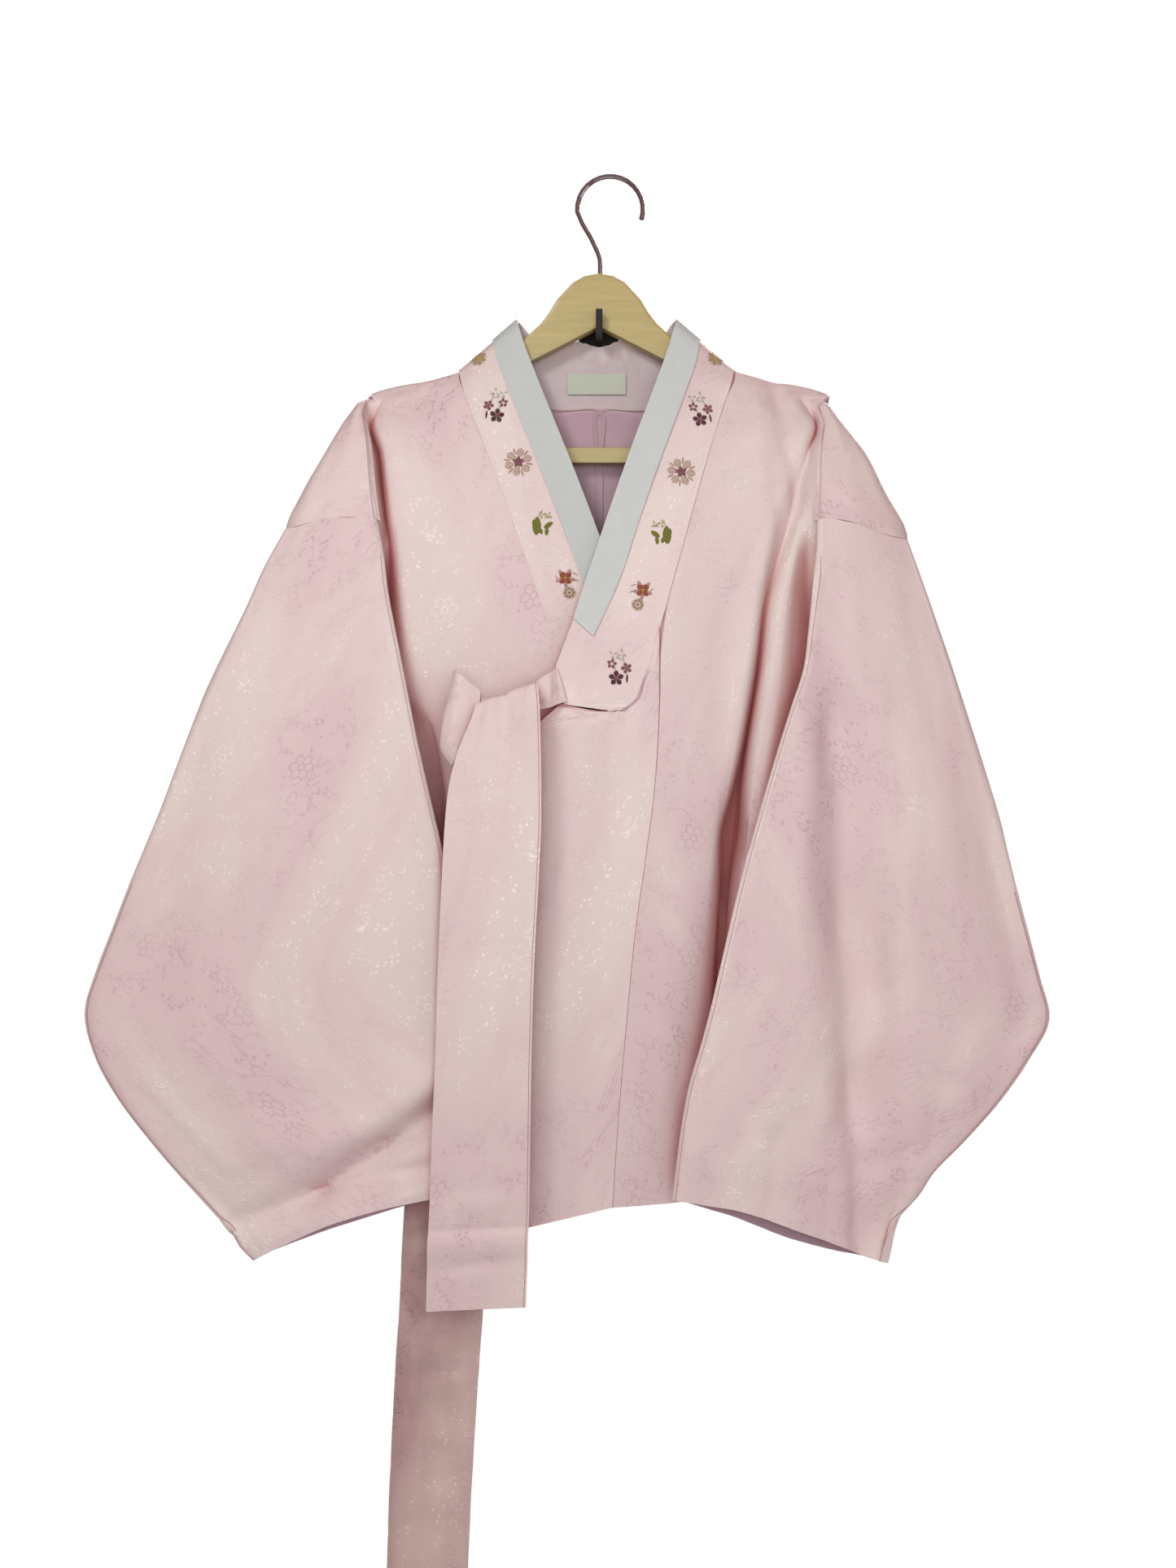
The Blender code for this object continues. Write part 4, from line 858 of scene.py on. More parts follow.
def bump(share, z):
    """Shape of the hidden layer across a sleeve: peaked at the underarm, rounder further down."""
    if share < UNDERARM_SHARE:
        peak = share / UNDERARM_SHARE
    else:
        peak = (1.0 - share) / (1.0 - UNDERARM_SHARE)
    round_shape = 1.0 - abs(2.0 * share - 1.0) ** ROUND_POWER
    blend = float(np.interp(z, [ROUND_FULL, ROUND_FROM], [1.0, 0.0]))
    return peak * (1 - blend) + round_shape * blend


def sleeve_point(side, share, hidden, z):
    """A point of the sleeve's middle surface, share of the way from the crease to the outer edge."""
    inner, outer = place_at(CREASE[side], z), place_at(OUTER[side], z)
    x, y, _ = inner + (outer - inner) * share
    ends = min(1.0, share / EDGE_SHARE, (1.0 - share) / EDGE_SHARE)
    if hidden:
        y += FOLD_R + at(SLEEVE_DEPTH, z) * bump(share, z)
    else:
        y += fold_depth(SLEEVE_FOLDS[side], x, z) * ends - FOLD_R - SLEEVE_SWELL * math.sin(math.pi * share)
    return np.array([x, y, z])


def armhole(side, share, hidden):
    """A point of the armhole ring at a share of the way across the sleeve."""
    if not hidden:
        return sleeve_point(side, share, False, at(ARMHOLE_TOP[side], share))
    table = ARMHOLE_FRONT[side] if share < UNDERARM_SHARE else ARMHOLE_BACK[side]
    return np.array([at(table, share, column) for column in (1, 2, 3)])


def sleeve(side):
    """A tube from the armhole to the cuff: the front from crease to outer edge, then the back again."""
    places = [(s, False) for s in SLEEVE_SHARES] + [(1.0, None)]
    places += [(s, True) for s in reversed(SLEEVE_SHARES)] + [(0.0, None)]
    if side == "left":
        places.reverse()
    grid = []
    for row in range(SLEEVE_ROWS):
        t = row / (SLEEVE_ROWS - 1)
        line = []
        for share, hidden in places:
            if hidden is None:
                front = tube_point(side, share, False, t)
                back = tube_point(side, share, True, t)
                tip = (front + back) / 2
                tip[0] += (FOLD_R if share > 0.5 else -FOLD_R) * (1 if side == "right" else -1) * 0.5
                line.append(tip)
            else:
                line.append(tube_point(side, share, hidden, t))
        grid.append(line)
    wall(f"sleeve_{side}", grid, CLOTH, "silk", closed=True, tucks=[("top", TUCK)])


def tube_point(side, share, hidden, t):
    """A point of the sleeve at t of the way from the armhole ring to the cuff."""
    top = armhole(side, share, hidden)
    bottom = at(CUFF[side], share)
    z = top[2] + (bottom - top[2]) * t
    fade = max(0.0, 1.0 - t / ARMHOLE_FADE) ** 2
    miss = top - sleeve_point(side, share, hidden, top[2])
    miss[2] = 0.0
    point = sleeve_point(side, share, hidden, z) + miss * fade
    if hidden:
        point[2] -= CUFF_SAG[side] * math.sin(math.pi * share) * t ** CUFF_SAG_POWER
    if t == 0.0:
        point[2] -= SEAM
    return point


def front_edge(side, z):
    """Outer edge of a front panel: the crease, then the armhole seam, then the side seam."""
    if z >= ARMHOLE_FRONT[side][0][3]:
        return place_at(CREASE[side], z) + (at(TIP_RUN, z) if side == "right" else 0.0, 0, 0)
    if z >= ARMHOLE_FRONT[side][-1][3]:
        return seam_at(ARMHOLE_FRONT[side], z)
    return place_at(SIDE_SEAM[side], z)


def front_panel(side):
    """A front, from over the hanger's board down to the hem."""
    sign = 1 if side == "right" else -1
    grid = []
    for y, lift in OVER_BOARD:
        line = [[sign * x, y, shoulder_height(x) + lift] for x in [NECK_X[side]] + TOP_X]
        grid.append(smooth_line(line, FRONT_STEPS))
    hem = FRONT_FOLDS[side][-1][0]
    for z, *folds in FRONT_FOLDS[side]:
        named = [[folds[i], folds[i + 1], z] for i in range(0, len(folds), 2)]
        named = [place_at(FRONT_SEAM[side], z), *named, front_edge(side, z)]
        if z == hem:
            named = [[x, y, height + hem_rise(side, x)] for x, y, height in named]
        on_armhole = ARMHOLE_FRONT[side][-1][3] - ARMHOLE_PAST <= z < ARMHOLE_FRONT[side][0][3]
        named[-1] = step_towards(named[-1], named[-2], ARMHOLE_GAP if on_armhole else EDGE_GAP)
        grid.append(smooth_line(named, FRONT_STEPS))
    if side == "left":
        grid = [line[::-1] for line in grid]
    wall(f"front_{side}", grid, CLOTH, "silk", tucks=[("last" if side == "left" else "first", TUCK)])


def hem_rise(side, x):
    """The hem climbs gently from the middle to the side seam."""
    reach = abs(SIDE_SEAM[side][-1][1])
    start = abs(FRONT_SEAM[side][-1][1])
    share = min(1.0, max(0.0, (abs(x) - start) / (reach - start)))
    return HEM_RISE * share ** HEM_CURVE


def back_wave(x, z):
    """How far the back's soft waves move it towards the wall at a place."""
    strength = min(1.0, max(0.0, (WAVES_FROM - z) / WAVES_OVER))
    return sum(full * strength * math.exp(-((abs(x) - crest) / half_width) ** 2)
               for crest, half_width, full in BACK_WAVES)


def neck_shift(side, x):
    """The left of the neck stands a little further out than the right."""
    return (NECK_X[side] - NECK_X["right"]) * min(1.0, max(0.0, (x - NECK_SHIFT_FROM) / NECK_SHIFT_OVER))


def back_panel(side):
    """One half of the back. Above the armhole seam it wraps round the outer fold to the crease."""
    sign = 1 if side == "right" else -1
    grid = []
    for y, lift in OVER_BOARD_BACK:
        grid.append([[sign * x, y, shoulder_height(x) + lift] for x in [NECK_X[side]] + BACK_TOP_X])
    for x, y, z, level in BACK_ROWS:
        flat_end = np.array([BACK_FLAT_X, BACK_FLAT_Y, level])
        start = np.array([x + neck_shift(side, x), y, z])
        line = []
        for k in range(BACK_FLAT_COLUMNS):
            share = k / (BACK_FLAT_COLUMNS - 1)
            point = start + (flat_end - start) * share
            point[1] += back_wave(point[0], level)
            point[0] *= sign
            if level == BACK_ROWS[-1][3]:
                point[2] += hem_rise(side, point[0])
            line.append(point)
        line += back_wrap(side, sign, level)
        grid.append(line)
        if level == ARMHOLE_LEVEL:
            seam_row = len(grid) - 1
    ring = BACK_FLAT_COLUMNS - 1 + BACK_RING_COLUMNS
    columns = len(grid[0])
    missing = {(i, j) for i in range(seam_row, len(grid) - 1) for j in range(ring, columns - 1)}
    if side == "right":
        grid = [line[::-1] for line in grid]
        missing = {(i, columns - 2 - j) for i, j in missing}
    wall(f"back_{side}", grid, CLOTH, "silk", missing=missing, tucks=[
        ("first" if side == "left" else "last", TUCK),
        ("last" if side == "left" else "first", FOLD_TUCK, len(OVER_BOARD_BACK) * FINER["back"][0])])


def back_wrap(side, sign, level):
    """The back panel from its flat part round the outer fold, and on to the crease above the seam."""
    start = np.array([sign * BACK_FLAT_X, BACK_FLAT_Y + back_wave(BACK_FLAT_X, level), level])
    underarm = ARMHOLE_BACK[side][0][3]
    if level >= ARMHOLE_LEVEL:
        z = at(ARMHOLE_TOP[side], 1.0) + EDGE_GAP if level == ARMHOLE_LEVEL else level
        tip = place_at(OUTER[side], z) + (0, FOLD_R, 0)
    elif level >= underarm:
        tip = seam_at(ARMHOLE_BACK[side], level)
    else:
        tip = place_at(SIDE_SEAM[side], level)
    if level == BACK_ROWS[-1][3]:
        start[2] += hem_rise(side, start[0])
        tip[2] += hem_rise(side, tip[0])
    line = []
    for share, back in BACK_RING:
        point = start + (tip - start) * share
        point[1] = start[1] + (tip[1] - start[1]) * back
        line.append(point)
    if level > ARMHOLE_LEVEL:
        line.append(tip)
    else:
        line.append(step_towards(tip, line[-1], ARMHOLE_GAP if level >= underarm else EDGE_GAP))
    for share in WRAP_SHARES:
        z = at(ARMHOLE_TOP[side], share) + SEAM if level == ARMHOLE_LEVEL else level
        line.append(sleeve_point(side, share, False, z))
    line[-1] = step_towards(line[-1], line[-2], SEAM)
    return line


def collar():
    """The band round the neck: from its square end up, round the neck and under the overlap."""
    grid = []
    for row in COLLAR_RIGHT + COLLAR_LEFT:
        neck = np.array(row[:3], float)
        seam = step_towards(row[3:], neck, SEAM)
        grid.append([neck + (seam - neck) * share for share in COLLAR_SHARES])
    return grid


def collar_band():
    """The band as a piece, its last edge lying over the fronts' seam."""
    wall("collar", collar()[::-1], BAND, "silk", tucks=[("last", COLLAR_LIP)])


def collar_strip():
    """The white strip lies on the neck side of the band, moved out from the band's own points."""
    grid = np.array(collar())
    normal = -grid_normals(grid, False)
    lines = []
    for row in range(STRIP_FROM_ROW, len(grid)):
        neck, seam = grid[row][0], grid[row][-1]
        inner = step_towards(neck, seam, -STRIP_OVER_EDGE)
        outer = step_towards(neck, seam, STRIP_WIDTH)
        if row == STRIP_FROM_ROW:
            outer = np.array(STRIP_END, float)
        lift = (BAND + STRIP) / 2 + STAND_OFF
        ways = (normal[row][0], (normal[row][0] + normal[row][1]) / 2, normal[row][1])
        places = (inner, (inner + outer) / 2, outer)
        lines.append([point + way * lift for point, way in zip(places, ways)])
    wall("collar_strip", lines[::-1], STRIP, "strip")


def outer_overlap():
    """The overlap that shows, from the collar's lower edge to the hem."""
    rows = [[[x, OUTER_OVERLAP_TOP_Y, z] for x, z in OUTER_OVERLAP_TOP]]
    levels = [row[0] for row in FRONT_FOLDS["right"] if row[0] <= OUTER_OVERLAP_EDGE[1][0]]
    for seam_z in levels:
        z = OUTER_OVERLAP_EDGE[-1][0] if seam_z == levels[-1] else seam_z
        seam_x = at(FRONT_SEAM["right"], seam_z) - SEAM
        edge_x = at(OUTER_OVERLAP_EDGE, z)
        shares = [k / (len(rows[0]) - 1) for k in range(len(rows[0]))]
        rows.append([[seam_x + (edge_x - seam_x) * share, OUTER_OVERLAP_Y, seam_z + (z - seam_z) * share]
                     for share in shares])
    wall("overlap_outer", [line[::-1] for line in rows], CLOTH, "silk", tucks=[("top", TUCK)])


def inner_overlap():
    """The hidden overlap of the viewer's left front."""
    rows = []
    levels = [row[0] for row in FRONT_FOLDS["left"] if row[0] < FRONT_SEAM["left"][-2][0]]
    for z in levels:
        z = max(z, INNER_HEM)
        seam = place_at(FRONT_SEAM["left"], z) + (SEAM, 0, 0)
        edge = np.array([at(INNER_OVERLAP_EDGE, z), seam[1], z])
        shares = [k / (INNER_OVERLAP_COLUMNS - 1) for k in range(INNER_OVERLAP_COLUMNS)]
        rows.append([seam + (edge - seam) * share for share in shares])
    wall("overlap_inner", rows, CLOTH, "silk")


def ribbon(name, table, sag=0.0):
    """A flat ribbon between the two edges of a table, its middle sag out from the line between them."""
    rows = []
    for row in table:
        a, b = np.array(row[:3], float), np.array(row[3:], float)
        middle = (a + b) / 2
        middle[1] -= sag
        rows.append([a, middle, b])
    wall(name, rows, RIBBON, "silk")


def bow_loop():
    """The loop of the bow: one ribbon out to the tip, folded round and back to the knot."""
    rows = []
    for share, depth in LOOP_TURNS:
        line = []
        for part, tip_x, tip_z in LOOP_TIP:
            root = np.array([LOOP_ROOT_X, LOOP_ROOT_Z[0] + (LOOP_ROOT_Z[1] - LOOP_ROOT_Z[0]) * part])
            tip = np.array([tip_x, tip_z])
            x, z = root + (tip - root) * share
            line.append([x, depth, z])
        rows.append(line)
    wall("bow_loop", rows, RIBBON, "silk")


class Nodes:
    """A short way to write a material's nodes."""

    def __init__(self, name):
        self.material = bpy.data.materials.new(name)
        self.material.use_nodes = True
        self.tree = self.material.node_tree
        self.shader = self.tree.nodes["Principled BSDF"]

    def add(self, kind, inputs=(), **settings):
        node = self.tree.nodes.new(kind)
        for key, value in settings.items():
            setattr(node, key, value)
        for key, value in dict(inputs).items():
            self.join(value, node.inputs[key])
        return node

    def join(self, value, socket):
        if isinstance(value, bpy.types.NodeSocket):
            self.tree.links.new(value, socket)
        else:
            socket.default_value = value

    def math(self, operation, a, b=0.0, c=0.0, clamp=False):
        node = self.add("ShaderNodeMath", {0: a, 1: b, 2: c}, operation=operation, use_clamp=clamp)
        return node.outputs[0]

    def times(self, a, b):
        return self.math("MULTIPLY", a, b)

    def gap(self, a, b):
        """How far apart two values are."""
        return self.math("ABSOLUTE", self.math("SUBTRACT", a, b))

    def vector(self, operation, a, b=(0, 0, 0)):
        node = self.add("ShaderNodeVectorMath", {0: a, 1: b}, operation=operation)
        return node.outputs["Value" if operation == "LENGTH" else "Vector"]

    def step(self, value, low, high):
        """0 at low and 1 at high, with a soft change between; low may be the larger."""
        node = self.add("ShaderNodeMapRange", {"Value": value, "From Min": low, "From Max": high},
                        interpolation_type="SMOOTHSTEP")
        return node.outputs["Result"]

    def mix(self, share, a, b):
        node = self.add("ShaderNodeMix", {"Factor": share}, data_type="RGBA")
        self.join(a, node.inputs[6])
        self.join(b, node.inputs[7])
        return node.outputs[2]

    def noise(self, place, scale, detail=2.0, rough=0.5, distortion=0.0):
        node = self.add("ShaderNodeTexNoise", {"Vector": place, "Scale": scale, "Detail": detail,
                                               "Roughness": rough, "Distortion": distortion})
        return node.outputs["Fac"]

    def flat(self):
        """The place on the flat cloth, in centimetres."""
        return self.add("ShaderNodeUVMap", uv_map="cloth").outputs["UV"]

    def bump(self, height, distance, normal=None):
        inputs = {"Height": height, "Distance": distance, "Strength": 1.0}
        if normal:
            inputs["Normal"] = normal
        return self.add("ShaderNodeBump", inputs).outputs["Normal"]

    def finish(self, color, rough, normal=None, **values):
        self.join(color, self.shader.inputs["Base Color"])
        self.join(rough, self.shader.inputs["Roughness"])
        if normal:
            self.join(normal, self.shader.inputs["Normal"])
        for key, value in values.items():
            self.shader.inputs[key.replace("_", " ")].default_value = value
        return self.material


def jacquard(n, place):
    """The woven pattern, 0 on the ground and 1 on the figure: dots, branches and large flowers."""
    cells = n.add("ShaderNodeTexVoronoi", {"Vector": place, "Scale": DOT_SCALE, "Randomness": 0.7},
                  voronoi_dimensions="2D")
    groups = n.step(n.noise(place, 0.8, 1.0), 0.58, 0.61)
    dots = n.times(n.step(cells.outputs["Distance"], 0.3, 0.22), groups)
    wander = n.gap(n.noise(place, 0.75, 2.0, 0.6, 0.4), 0.5)
    reach = n.step(n.noise(n.vector("ADD", place, (7.3, 2.1, 0)), 0.35, 1.0), 0.49, 0.54)
    branches = n.times(n.step(wander, 0.014, 0.006), reach)
    coarse = n.vector("MULTIPLY", place, (FLOWER_SCALE, FLOWER_SCALE, 0))
    wide = n.add("ShaderNodeTexVoronoi", {"Vector": coarse, "Scale": 1.0, "Randomness": 0.7},
                 voronoi_dimensions="2D")
    spot = n.vector("SUBTRACT", coarse, wide.outputs["Position"])
    out = n.math("DIVIDE", n.vector("LENGTH", spot), FLOWER_SCALE)
    parts = n.add("ShaderNodeSeparateXYZ", {0: spot})
    angle = n.math("ARCTAN2", parts.outputs[1], parts.outputs[0])
    lobes = n.math("COSINE", n.times(angle, 6.0))
    rim = n.math("MULTIPLY_ADD", lobes, 0.17, 0.86)
    rim = n.math("SUBTRACT", rim, n.times(n.step(lobes, 0.86, 1.0), 0.2))
    petals = n.step(n.gap(out, rim), 0.075, 0.045)
    heart = n.step(n.gap(out, 0.24), 0.07, 0.04)
    near = n.step(n.gap(out, 0.48), 0.24, 0.2)
    folds = n.times(n.step(lobes, -0.9, -0.98), near)
    shade = n.add("ShaderNodeSeparateXYZ", {0: wide.outputs["Color"]}).outputs[0]
    chosen = n.step(shade, 0.32, 0.33)
    flower = n.times(n.math("MAXIMUM", n.math("MAXIMUM", petals, heart), folds), chosen)
    clear = n.times(n.step(out, 1.05, 1.25), chosen)
    clear = n.math("ADD", clear, n.math("SUBTRACT", 1.0, chosen), clamp=True)
    small = n.times(n.math("MAXIMUM", dots, branches), clear)
    return n.math("MAXIMUM", small, flower)


def weave(n, place, scale=30.0):
    """Warp and weft threads as a small height."""
    warp, weft = (n.add("ShaderNodeTexWave", {"Vector": place, "Scale": scale, "Distortion": 0.4},
                        bands_direction=way).outputs["Fac"] for way in "XY")
    return n.math("ADD", warp, weft)


def satin(name, mauve, cream, figure_shade, figure_sheen):
    """Silk in wide random patches of mauve and cream that are partly painted shade and painted sheen, its
    woven figure shinier, a little raised, painted lighter in the cream and darker in the mauve, and deep
    folds painted dark red for shade.
    """
    n = Nodes(name)
    place = n.flat()
    figure = jacquard(n, place)
    # Painted sheen and shade: random vertical streaks, the cream for the sheen and the mauve for the shade of
    # the hanging silk
    sheen_shade_tone = n.step(n.noise(n.vector("MULTIPLY", place, (1.0, 0.4, 0)), 0.1, 3.0, 0.55, 0.8), 0.32, 0.66)
    ground = n.mix(sheen_shade_tone, (*mauve, 1), (*cream, 1))
    # The figure is painted near-white in the cream streaks, a painted highlight, and dark mauve in the mauve
    # ones, painted shade
    figure_sheen_shade = n.mix(sheen_shade_tone, (*figure_shade, 1), (*figure_sheen, 1))
    color = n.mix(n.times(figure, FIGURE_SHOWS), ground, figure_sheen_shade)
    # Painted shade: ambient occlusion mixes the colour towards dark red in deep folds
    near = n.add("ShaderNodeAmbientOcclusion", {"Distance": FOLD_SHADE_REACH}, samples=8).outputs["AO"]
    color = n.mix(n.step(near, *FOLD_SHADE_OPEN), (*FOLD_SHADE_RED, 1), color)
    rough = n.math("SUBTRACT", 0.47, n.times(figure, 0.18))
    tilt = n.mix(figure, (0.5, 0.5, 1, 1), (0.5, 0.54, 1, 1))
    lean = n.add("ShaderNodeNormalMap", {"Color": tilt, "Strength": 1.0}, uv_map="cloth").outputs["Normal"]
    normal = n.bump(weave(n, place), 0.00002, lean)
    normal = n.bump(figure, 0.00012, normal)
    return n.finish(color, rough, normal, Metallic=0.12, Sheen_Weight=0.2, Sheen_Roughness=0.4,
                    Sheen_Tint=(1.0, 0.85, 0.85, 1), Specular_IOR_Level=0.5)


def plain_cloth(name, dark, pale, scale, detail, rough, height, threads=30.0, **shine):
    """A plain weave in two near colours, in soft patches."""
    n = Nodes(name)
    place = n.flat()
    color = n.mix(n.noise(place, scale, detail), (*dark, 1), (*pale, 1))
    return n.finish(color, rough, n.bump(weave(n, place, threads), height), **shine)


def speckled(name, dark, pale, rough, height, **shine):
    """Fine specks of two near colours: paint, or the turns of a thread."""
    n = Nodes(name)
    specks = n.noise(n.add("ShaderNodeTexCoord").outputs["Object"], 900.0, 2.0)
    color = n.mix(specks, (*dark, 1), (*pale, 1))
    return n.finish(color, rough, n.bump(specks, height), **shine)


def label():
    """The neck label's tape, woven in rows of two pale greens."""
    n = Nodes("label_woven")
    rows = n.add("ShaderNodeTexWave", {"Vector": n.flat(), "Scale": 9.0, "Distortion": 1.0},
                 bands_direction="Y").outputs["Fac"]
    color = n.mix(rows, (0.50, 0.58, 0.46, 1), (0.66, 0.72, 0.62, 1))
    return n.finish(color, 0.8, n.bump(rows, 0.0001))


def wood():
    """Plywood: grain along the board, and the dark and light plies where a face is an edge."""
    n = Nodes("hanger_plywood")
    place = n.add("ShaderNodeTexCoord").outputs["Object"]
    grain = n.noise(n.vector("MULTIPLY", place, (22, 60, 260)), 1.0, 5.0, 0.6, 0.5)
    color = n.mix(n.step(grain, 0.3, 0.75), (0.42, 0.36, 0.135, 1), (0.49, 0.42, 0.17, 1))
    facing = n.add("ShaderNodeSeparateXYZ", {0: n.add("ShaderNodeNewGeometry").outputs["True Normal"]})
    side = n.step(n.math("ABSOLUTE", facing.outputs[1]), 0.75, 0.4)
    depth = n.add("ShaderNodeSeparateXYZ", {0: place}).outputs[1]
    plies = n.step(n.math("SINE", n.times(depth, 2600.0)), -0.3, 0.3)
    edge = n.mix(plies, (0.20, 0.15, 0.03, 1), (0.36, 0.29, 0.09, 1))
    color = n.mix(n.times(side, 0.75), color, edge)
    return n.finish(color, 0.45, n.bump(grain, 0.0002), Coat_Weight=0.25, Coat_Roughness=0.25)


def chrome():
    """The wire hook's plating, a little worn."""
    n = Nodes("hook_chrome")
    place = n.add("ShaderNodeTexCoord").outputs["Object"]
    rough = n.math("MULTIPLY_ADD", n.noise(place, 90.0, 2.0), 0.1, 0.14)
    return n.finish((0.42, 0.43, 0.44, 1), rough, Metallic=1.0)


MATERIALS = {
    # kind: the function that makes it, and what it takes
    "silk": (satin, "silk_jacquard", *SILK),
    # A darker copy of the silk for the long tie: painted shade
    "silk_painted_shade": (satin, "silk_jacquard_painted_shade", *SILK_PAINTED_SHADE),
    "lining": (plain_cloth, "lining_taffeta", *LINING),
    "collar_lining": (plain_cloth, "collar_lining", *COLLAR_LINING),
    "strip": (plain_cloth, "strip_white", *STRIP_WHITE),
    "seam_thread": (speckled, "seam_thread", *SEAM_THREAD),
    "black": (speckled, "wall_hook_paint", *HOOK_PAINT),
    "label": (label,), "wood": (wood,), "chrome": (chrome,),
}


@functools.cache
def material(kind):
    """Each material is made once and shared."""
    make, *values = MATERIALS[kind]
    shine = values.pop() if values and isinstance(values[-1], dict) else {}
    return make(*values, **shine)


def hard_parts():
    """The CAD's own hanger and hooks stay, with better materials."""
    kept = {"hanger_board": "wood", "trouser_bar": "wood", "wire_hook": "chrome", "wall_hook": "black"}
    for name, finish in kept.items():
        bpy.data.objects[name].material_slots[0].material = material(finish)


def label_sheet():
    """The woven label, bare, sewn to the back of the neck."""
    x0, x1, y0, y1, z0, z1 = LABEL
    middle = (y0 + y1) / 2
    columns, rows = LABEL_GRID
    grid = [[[x, middle, z] for x in np.linspace(x0, x1, columns)] for z in np.linspace(z1, z0, rows)]
    wall("neck_label", grid, y1 - y0, "label")


def knot():
    """The knot is a ribbon wrapped once round the tie's root."""
    x0, x1, y0, y1, z0, z1 = KNOT
    grid = []
    for row in range(KNOT_ROWS):
        t = row / (KNOT_ROWS - 1)
        x = x0 + (x1 - x0) * t
        pinch = 1.0 - KNOT_PINCH * math.sin(math.pi * t) + KNOT_WAVER * math.sin(KNOT_WAVES * t)
        line = []
        for k in range(KNOT_SIDES):
            a = -2 * math.pi * k / KNOT_SIDES
            c, s = math.cos(a), math.sin(a)
            y = (y0 + y1) / 2 + (y1 - y0 - RIBBON) / 2 * pinch * math.copysign(abs(c) ** KNOT_CORNER, c)
            z = (z0 + z1) / 2 + (z1 - z0 - RIBBON) / 2 * pinch * math.copysign(abs(s) ** KNOT_CORNER, s)
            line.append([x, y, z])
        grid.append(line)
    wall("bow_knot", grid, RIBBON, "silk", closed=True)


def clothes():
    """Every cloth of the part, in a fixed order."""
    for side in ("left", "right"):
        sleeve(side)
        front_panel(side)
        back_panel(side)
    outer_overlap()
    inner_overlap()
    collar_band()
    collar_strip()
    ribbon("tie_short", SHORT_TIE)
    ribbon("tie_long", LONG_TIE)
    ribbon("tie_root", TIE_ROOT, sag=ROOT_SAG)
    bow_loop()
    knot()
    label_sheet()


def thread(name):
    """Embroidery thread: fine strands side by side across each petal, painted darker between the strands as
    shade.
    """
    n = Nodes("thread_" + name)
    place = n.flat()
    strands = n.add("ShaderNodeTexWave", {"Vector": place, "Scale": 9.0, "Distortion": 0.8},
                    bands_direction="Y").outputs["Fac"]
    # Painted shade: the thread is darker in the grooves between strands
    dark = [value * STITCH_GROOVE_SHADE for value in THREADS[name]]
    color = n.mix(strands, (*dark, 1), (*THREADS[name], 1))
    return n.finish(color, 0.35, n.bump(strands, 0.00015), Sheen_Weight=0.3, Specular_IOR_Level=0.7)


def petal(start, end, width, steps=7, across=4):
    """A leaf-shaped patch of satin stitch: rows of (right, up, crown, along, aside)."""
    start, end = np.array(start, float), np.array(end, float)
    way = end - start
    length = float(np.linalg.norm(way))
    side = np.array([-way[1], way[0]]) / length
    rows = []
    for i in range(steps + 1):
        t = i / steps
        wave = math.sin(math.pi * min(1.0, t * PETAL_RUN + PETAL_FROM)) ** PETAL_ROUND
        half = width / 2 * (PETAL_TIP + (1 - PETAL_TIP) * wave)
        line = []
        for j in range(across + 1):
            s = 2 * j / across - 1
            u, v = start + way * t + side * s * half
            line.append((u, v, (1 - s * s) * min(1.0, half), t * length, s * half))
        rows.append(line)
    return rows


def motif_petals(kind):
    """Every petal and stroke of a motif: colour and its rows."""
    petals = []
    for color, count, right, up, inner, outer, width, first in RINGS[kind]:
        for k in range(count):
            a = math.radians(first + 360.0 * k / count)
            c, s = math.cos(a), math.sin(a)
            ends = (right + c * inner, up + s * inner), (right + c * outer, up + s * outer)
            petals.append((color, petal(*ends, width)))
    for color, right, up, end_right, end_up, width in STROKES.get(kind, ()):
        petals.append((color, petal((right, up), (end_right, end_up), width)))
    return petals


def embroidery():
    """All the motifs as one piece, each vertex set on the band's surface."""
    band = pieces["collar"].data
    tree = BVHTree.FromPolygons([v.co / MM for v in band.vertices], [list(p.vertices) for p in band.polygons])
    eye = Vector(CAMERA)
    scale = PIXEL_AT_BOARD / BOARD_FRONT_DISTANCE
    names = list(THREADS)
    points, faces, slots, flat = [], [], [], []
    for px, py, kind, turn, facing in MOTIFS:
        ray = Vector(((px - PHOTO_MIDDLE[0]) * scale, 1.0, (PHOTO_MIDDLE[1] - py) * scale)).normalized()
        hit, normal, _, _ = tree.ray_cast(eye, ray)
        if hit is None:
            continue
        right = normal.cross(Vector((0, 0, -1))).normalized()
        if right.x < 0:
            right = -right
        up = right.cross(normal)
        if up.z < 0:
            up = -up
        a = math.radians(turn)
        axis_u = (right * math.cos(a) + up * math.sin(a)) * facing
        axis_v = up * math.cos(a) - right * math.sin(a)
        axis_u, axis_v = (axis * MOTIF_SIZE.get(kind, 1.0) for axis in (axis_u, axis_v))
        for layer, (color, rows) in enumerate(motif_petals(kind)):
            base = len(points)
            for line in rows:
                for u, v, crown, along, aside in line:
                    place = hit + axis_u * u + axis_v * v
                    above = place + normal * STITCH_PROBE
                    on = tree.ray_cast(above, -normal, 2 * STITCH_PROBE)[0] or place
                    lift = STITCH_LIFT + layer * STITCH_LAYER + STITCH_CROWN * crown
                    points.append((on + normal * lift) * MM)
            wide = len(rows[0])
            for i in range(len(rows) - 1):
                for j in range(wide - 1):
                    cells = ((i, j), (i + 1, j), (i + 1, j + 1), (i, j + 1))
                    if facing > 0:
                        cells = cells[::-1]
                    faces.append([base + r * wide + c for r, c in cells])
                    flat.append([(rows[r][c][4], rows[r][c][3]) for r, c in cells])
                    slots.append(names.index(color))
    return make_piece("collar_embroidery", points, faces, map(thread, names), slots, flat)


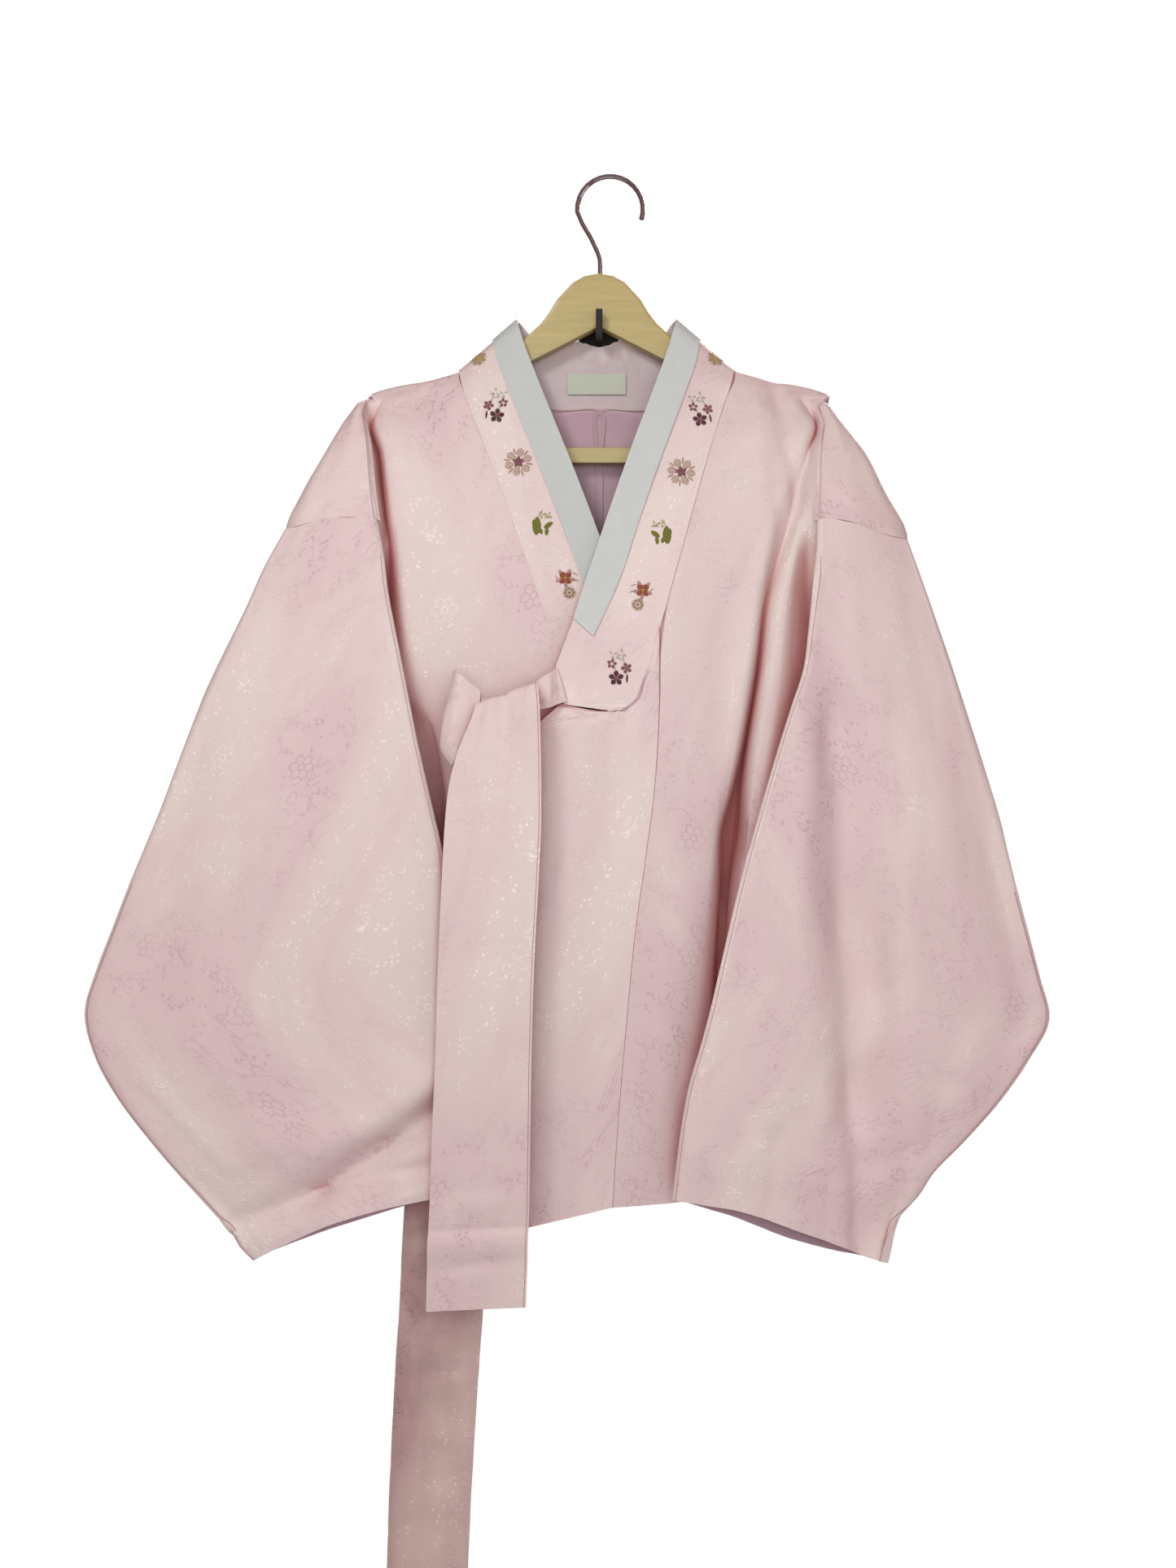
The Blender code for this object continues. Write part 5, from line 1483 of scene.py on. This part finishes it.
def inset(grid, index, step, distance):
    """Points a fixed way in from one column of a grid, on its surface."""
    line = []
    count = grid.shape[1]
    for row in grid:
        gone = 0.0
        k = index
        while gone < distance:
            here, there = row[k % count], row[(k + step) % count]
            length = float(np.linalg.norm(there - here))
            if gone + length >= distance:
                line.append(here + (there - here) * (distance - gone) / length)
            gone += length
            k += step
    return line


def sewn_line(name, points, radius=LINE_RADIUS, sides=6):
    """A fine round line of stitching on a surface."""
    points = np.array(points)
    way = np.gradient(points, axis=0)
    way /= np.maximum(np.linalg.norm(way, axis=1, keepdims=True), 1e-9)
    across = np.cross(way, (0, 1, 0))
    across /= np.maximum(np.linalg.norm(across, axis=1, keepdims=True), 1e-9)
    out = np.cross(across, way)
    rings = []
    for k in range(sides):
        a = 2 * math.pi * k / sides
        rings.append(points + (across * math.cos(a) + out * math.sin(a)) * radius)
    rings = np.array(rings).transpose(1, 0, 2)
    count = len(points)
    faces = []
    for i in range(count - 1):
        for k in range(sides):
            m = (k + 1) % sides
            faces.append([i * sides + k, i * sides + m, (i + 1) * sides + m, (i + 1) * sides + k])
    faces.append(list(range(sides))[::-1])
    faces.append([(count - 1) * sides + k for k in range(sides)])
    return make_piece(name, rings.reshape(-1, 3) * MM, faces, [material("seam_thread")])


def sewn_lines():
    """Lines inside the sleeves' curved seams, beside their pressed folds and along two free edges."""
    lines = {}
    # A sleeve's ring: half its columns in front, one at the outer edge, half behind, one at the crease
    per = kind_of(FINER, "sleeve_left")[1]
    half = len(SLEEVE_SHARES)
    for side in ("left", "right"):
        grid = outsides[f"sleeve_{side}"]
        outer = (half + 1 if side == "left" else half) * per
        towards = 1 if side == "left" else -1
        lower = grid[len(grid) // 2:]
        fold, front = (0, -1) if side == "left" else ((2 * half + 1) * per, 1)
        lines[f"sleeve_{side}"] = [
            sewn_line(f"sleeve_{side}_seam_line", inset(lower, outer, towards, SEAM_LINE)),
            sewn_line(f"sleeve_{side}_crease_line",
                      inset(grid[FOLD_LINE_FROM:], fold, front, FOLD_LINE), FINE_RADIUS),
        ]
    for name, column, step, distance in EDGE_LINES:
        edge = inset(outsides[name], column, step, distance)
        lines[name] = [sewn_line(f"{name}_edge_line", edge, FINE_RADIUS)]
    return lines


def area_light(name, place, target, size, power, color):
    """A round lamp at a place, turned towards a target."""
    light = bpy.data.lights.new(name, "AREA")
    light.shape = "DISK"
    light.size = size
    light.energy = power
    light.color = color
    item = bpy.data.objects.new(name, light)
    item.location = place
    way = Vector(target) - Vector(place)
    item.rotation_euler = way.to_track_quat("-Z", "Y").to_euler()
    bpy.context.scene.collection.objects.link(item)


def studio():
    """White paper behind the part for the camera, a warm room for everything else, and the lights."""
    world = bpy.data.worlds.new("studio")
    world.use_nodes = True
    tree = world.node_tree
    room = tree.nodes["Background"]
    room.inputs["Color"].default_value = ROOM
    room.inputs["Strength"].default_value = ROOM_STRENGTH
    paper = tree.nodes.new("ShaderNodeBackground")
    paper.inputs["Color"].default_value = (1, 1, 1, 1)
    paper.inputs["Strength"].default_value = 1.0
    path = tree.nodes.new("ShaderNodeLightPath")
    both = tree.nodes.new("ShaderNodeMixShader")
    tree.links.new(path.outputs["Is Camera Ray"], both.inputs[0])
    tree.links.new(room.outputs[0], both.inputs[1])
    tree.links.new(paper.outputs[0], both.inputs[2])
    tree.links.new(both.outputs[0], tree.nodes["World Output"].inputs[0])
    bpy.context.scene.world = world
    bpy.context.scene.view_settings.view_transform = "Standard"
    for name, values in LIGHTS.items():
        area_light(name, *values)
    bpy.ops.mesh.primitive_grid_add(
        x_subdivisions=8, y_subdivisions=8, size=FLOOR_SIZE, location=FLOOR_MIDDLE)
    floor = bpy.context.object
    floor.name = "floor"
    n = Nodes("floor_pale")
    spot = n.noise(n.add("ShaderNodeTexCoord").outputs["Object"], 3.0, 2.0)
    floor.data.materials.append(n.finish(n.mix(spot, (0.73, 0.82, 0.82, 1), (0.77, 0.86, 0.86, 1)), 0.8))


def camera():
    """The photo's view."""
    data = bpy.data.cameras.new("photo_view")
    data.sensor_fit = "AUTO"
    data.sensor_width = SENSOR
    data.lens = LENS
    data.clip_end = 20.0
    item = bpy.data.objects.new("photo_view", data)
    item.location = [c * MM for c in CAMERA]
    item.rotation_euler = (math.radians(90), 0, 0)
    bpy.context.scene.collection.objects.link(item)
    bpy.context.scene.camera = item


camera()
clothes()
hard_parts()
more = sewn_lines()
more["collar"] = [embroidery()]
studio()
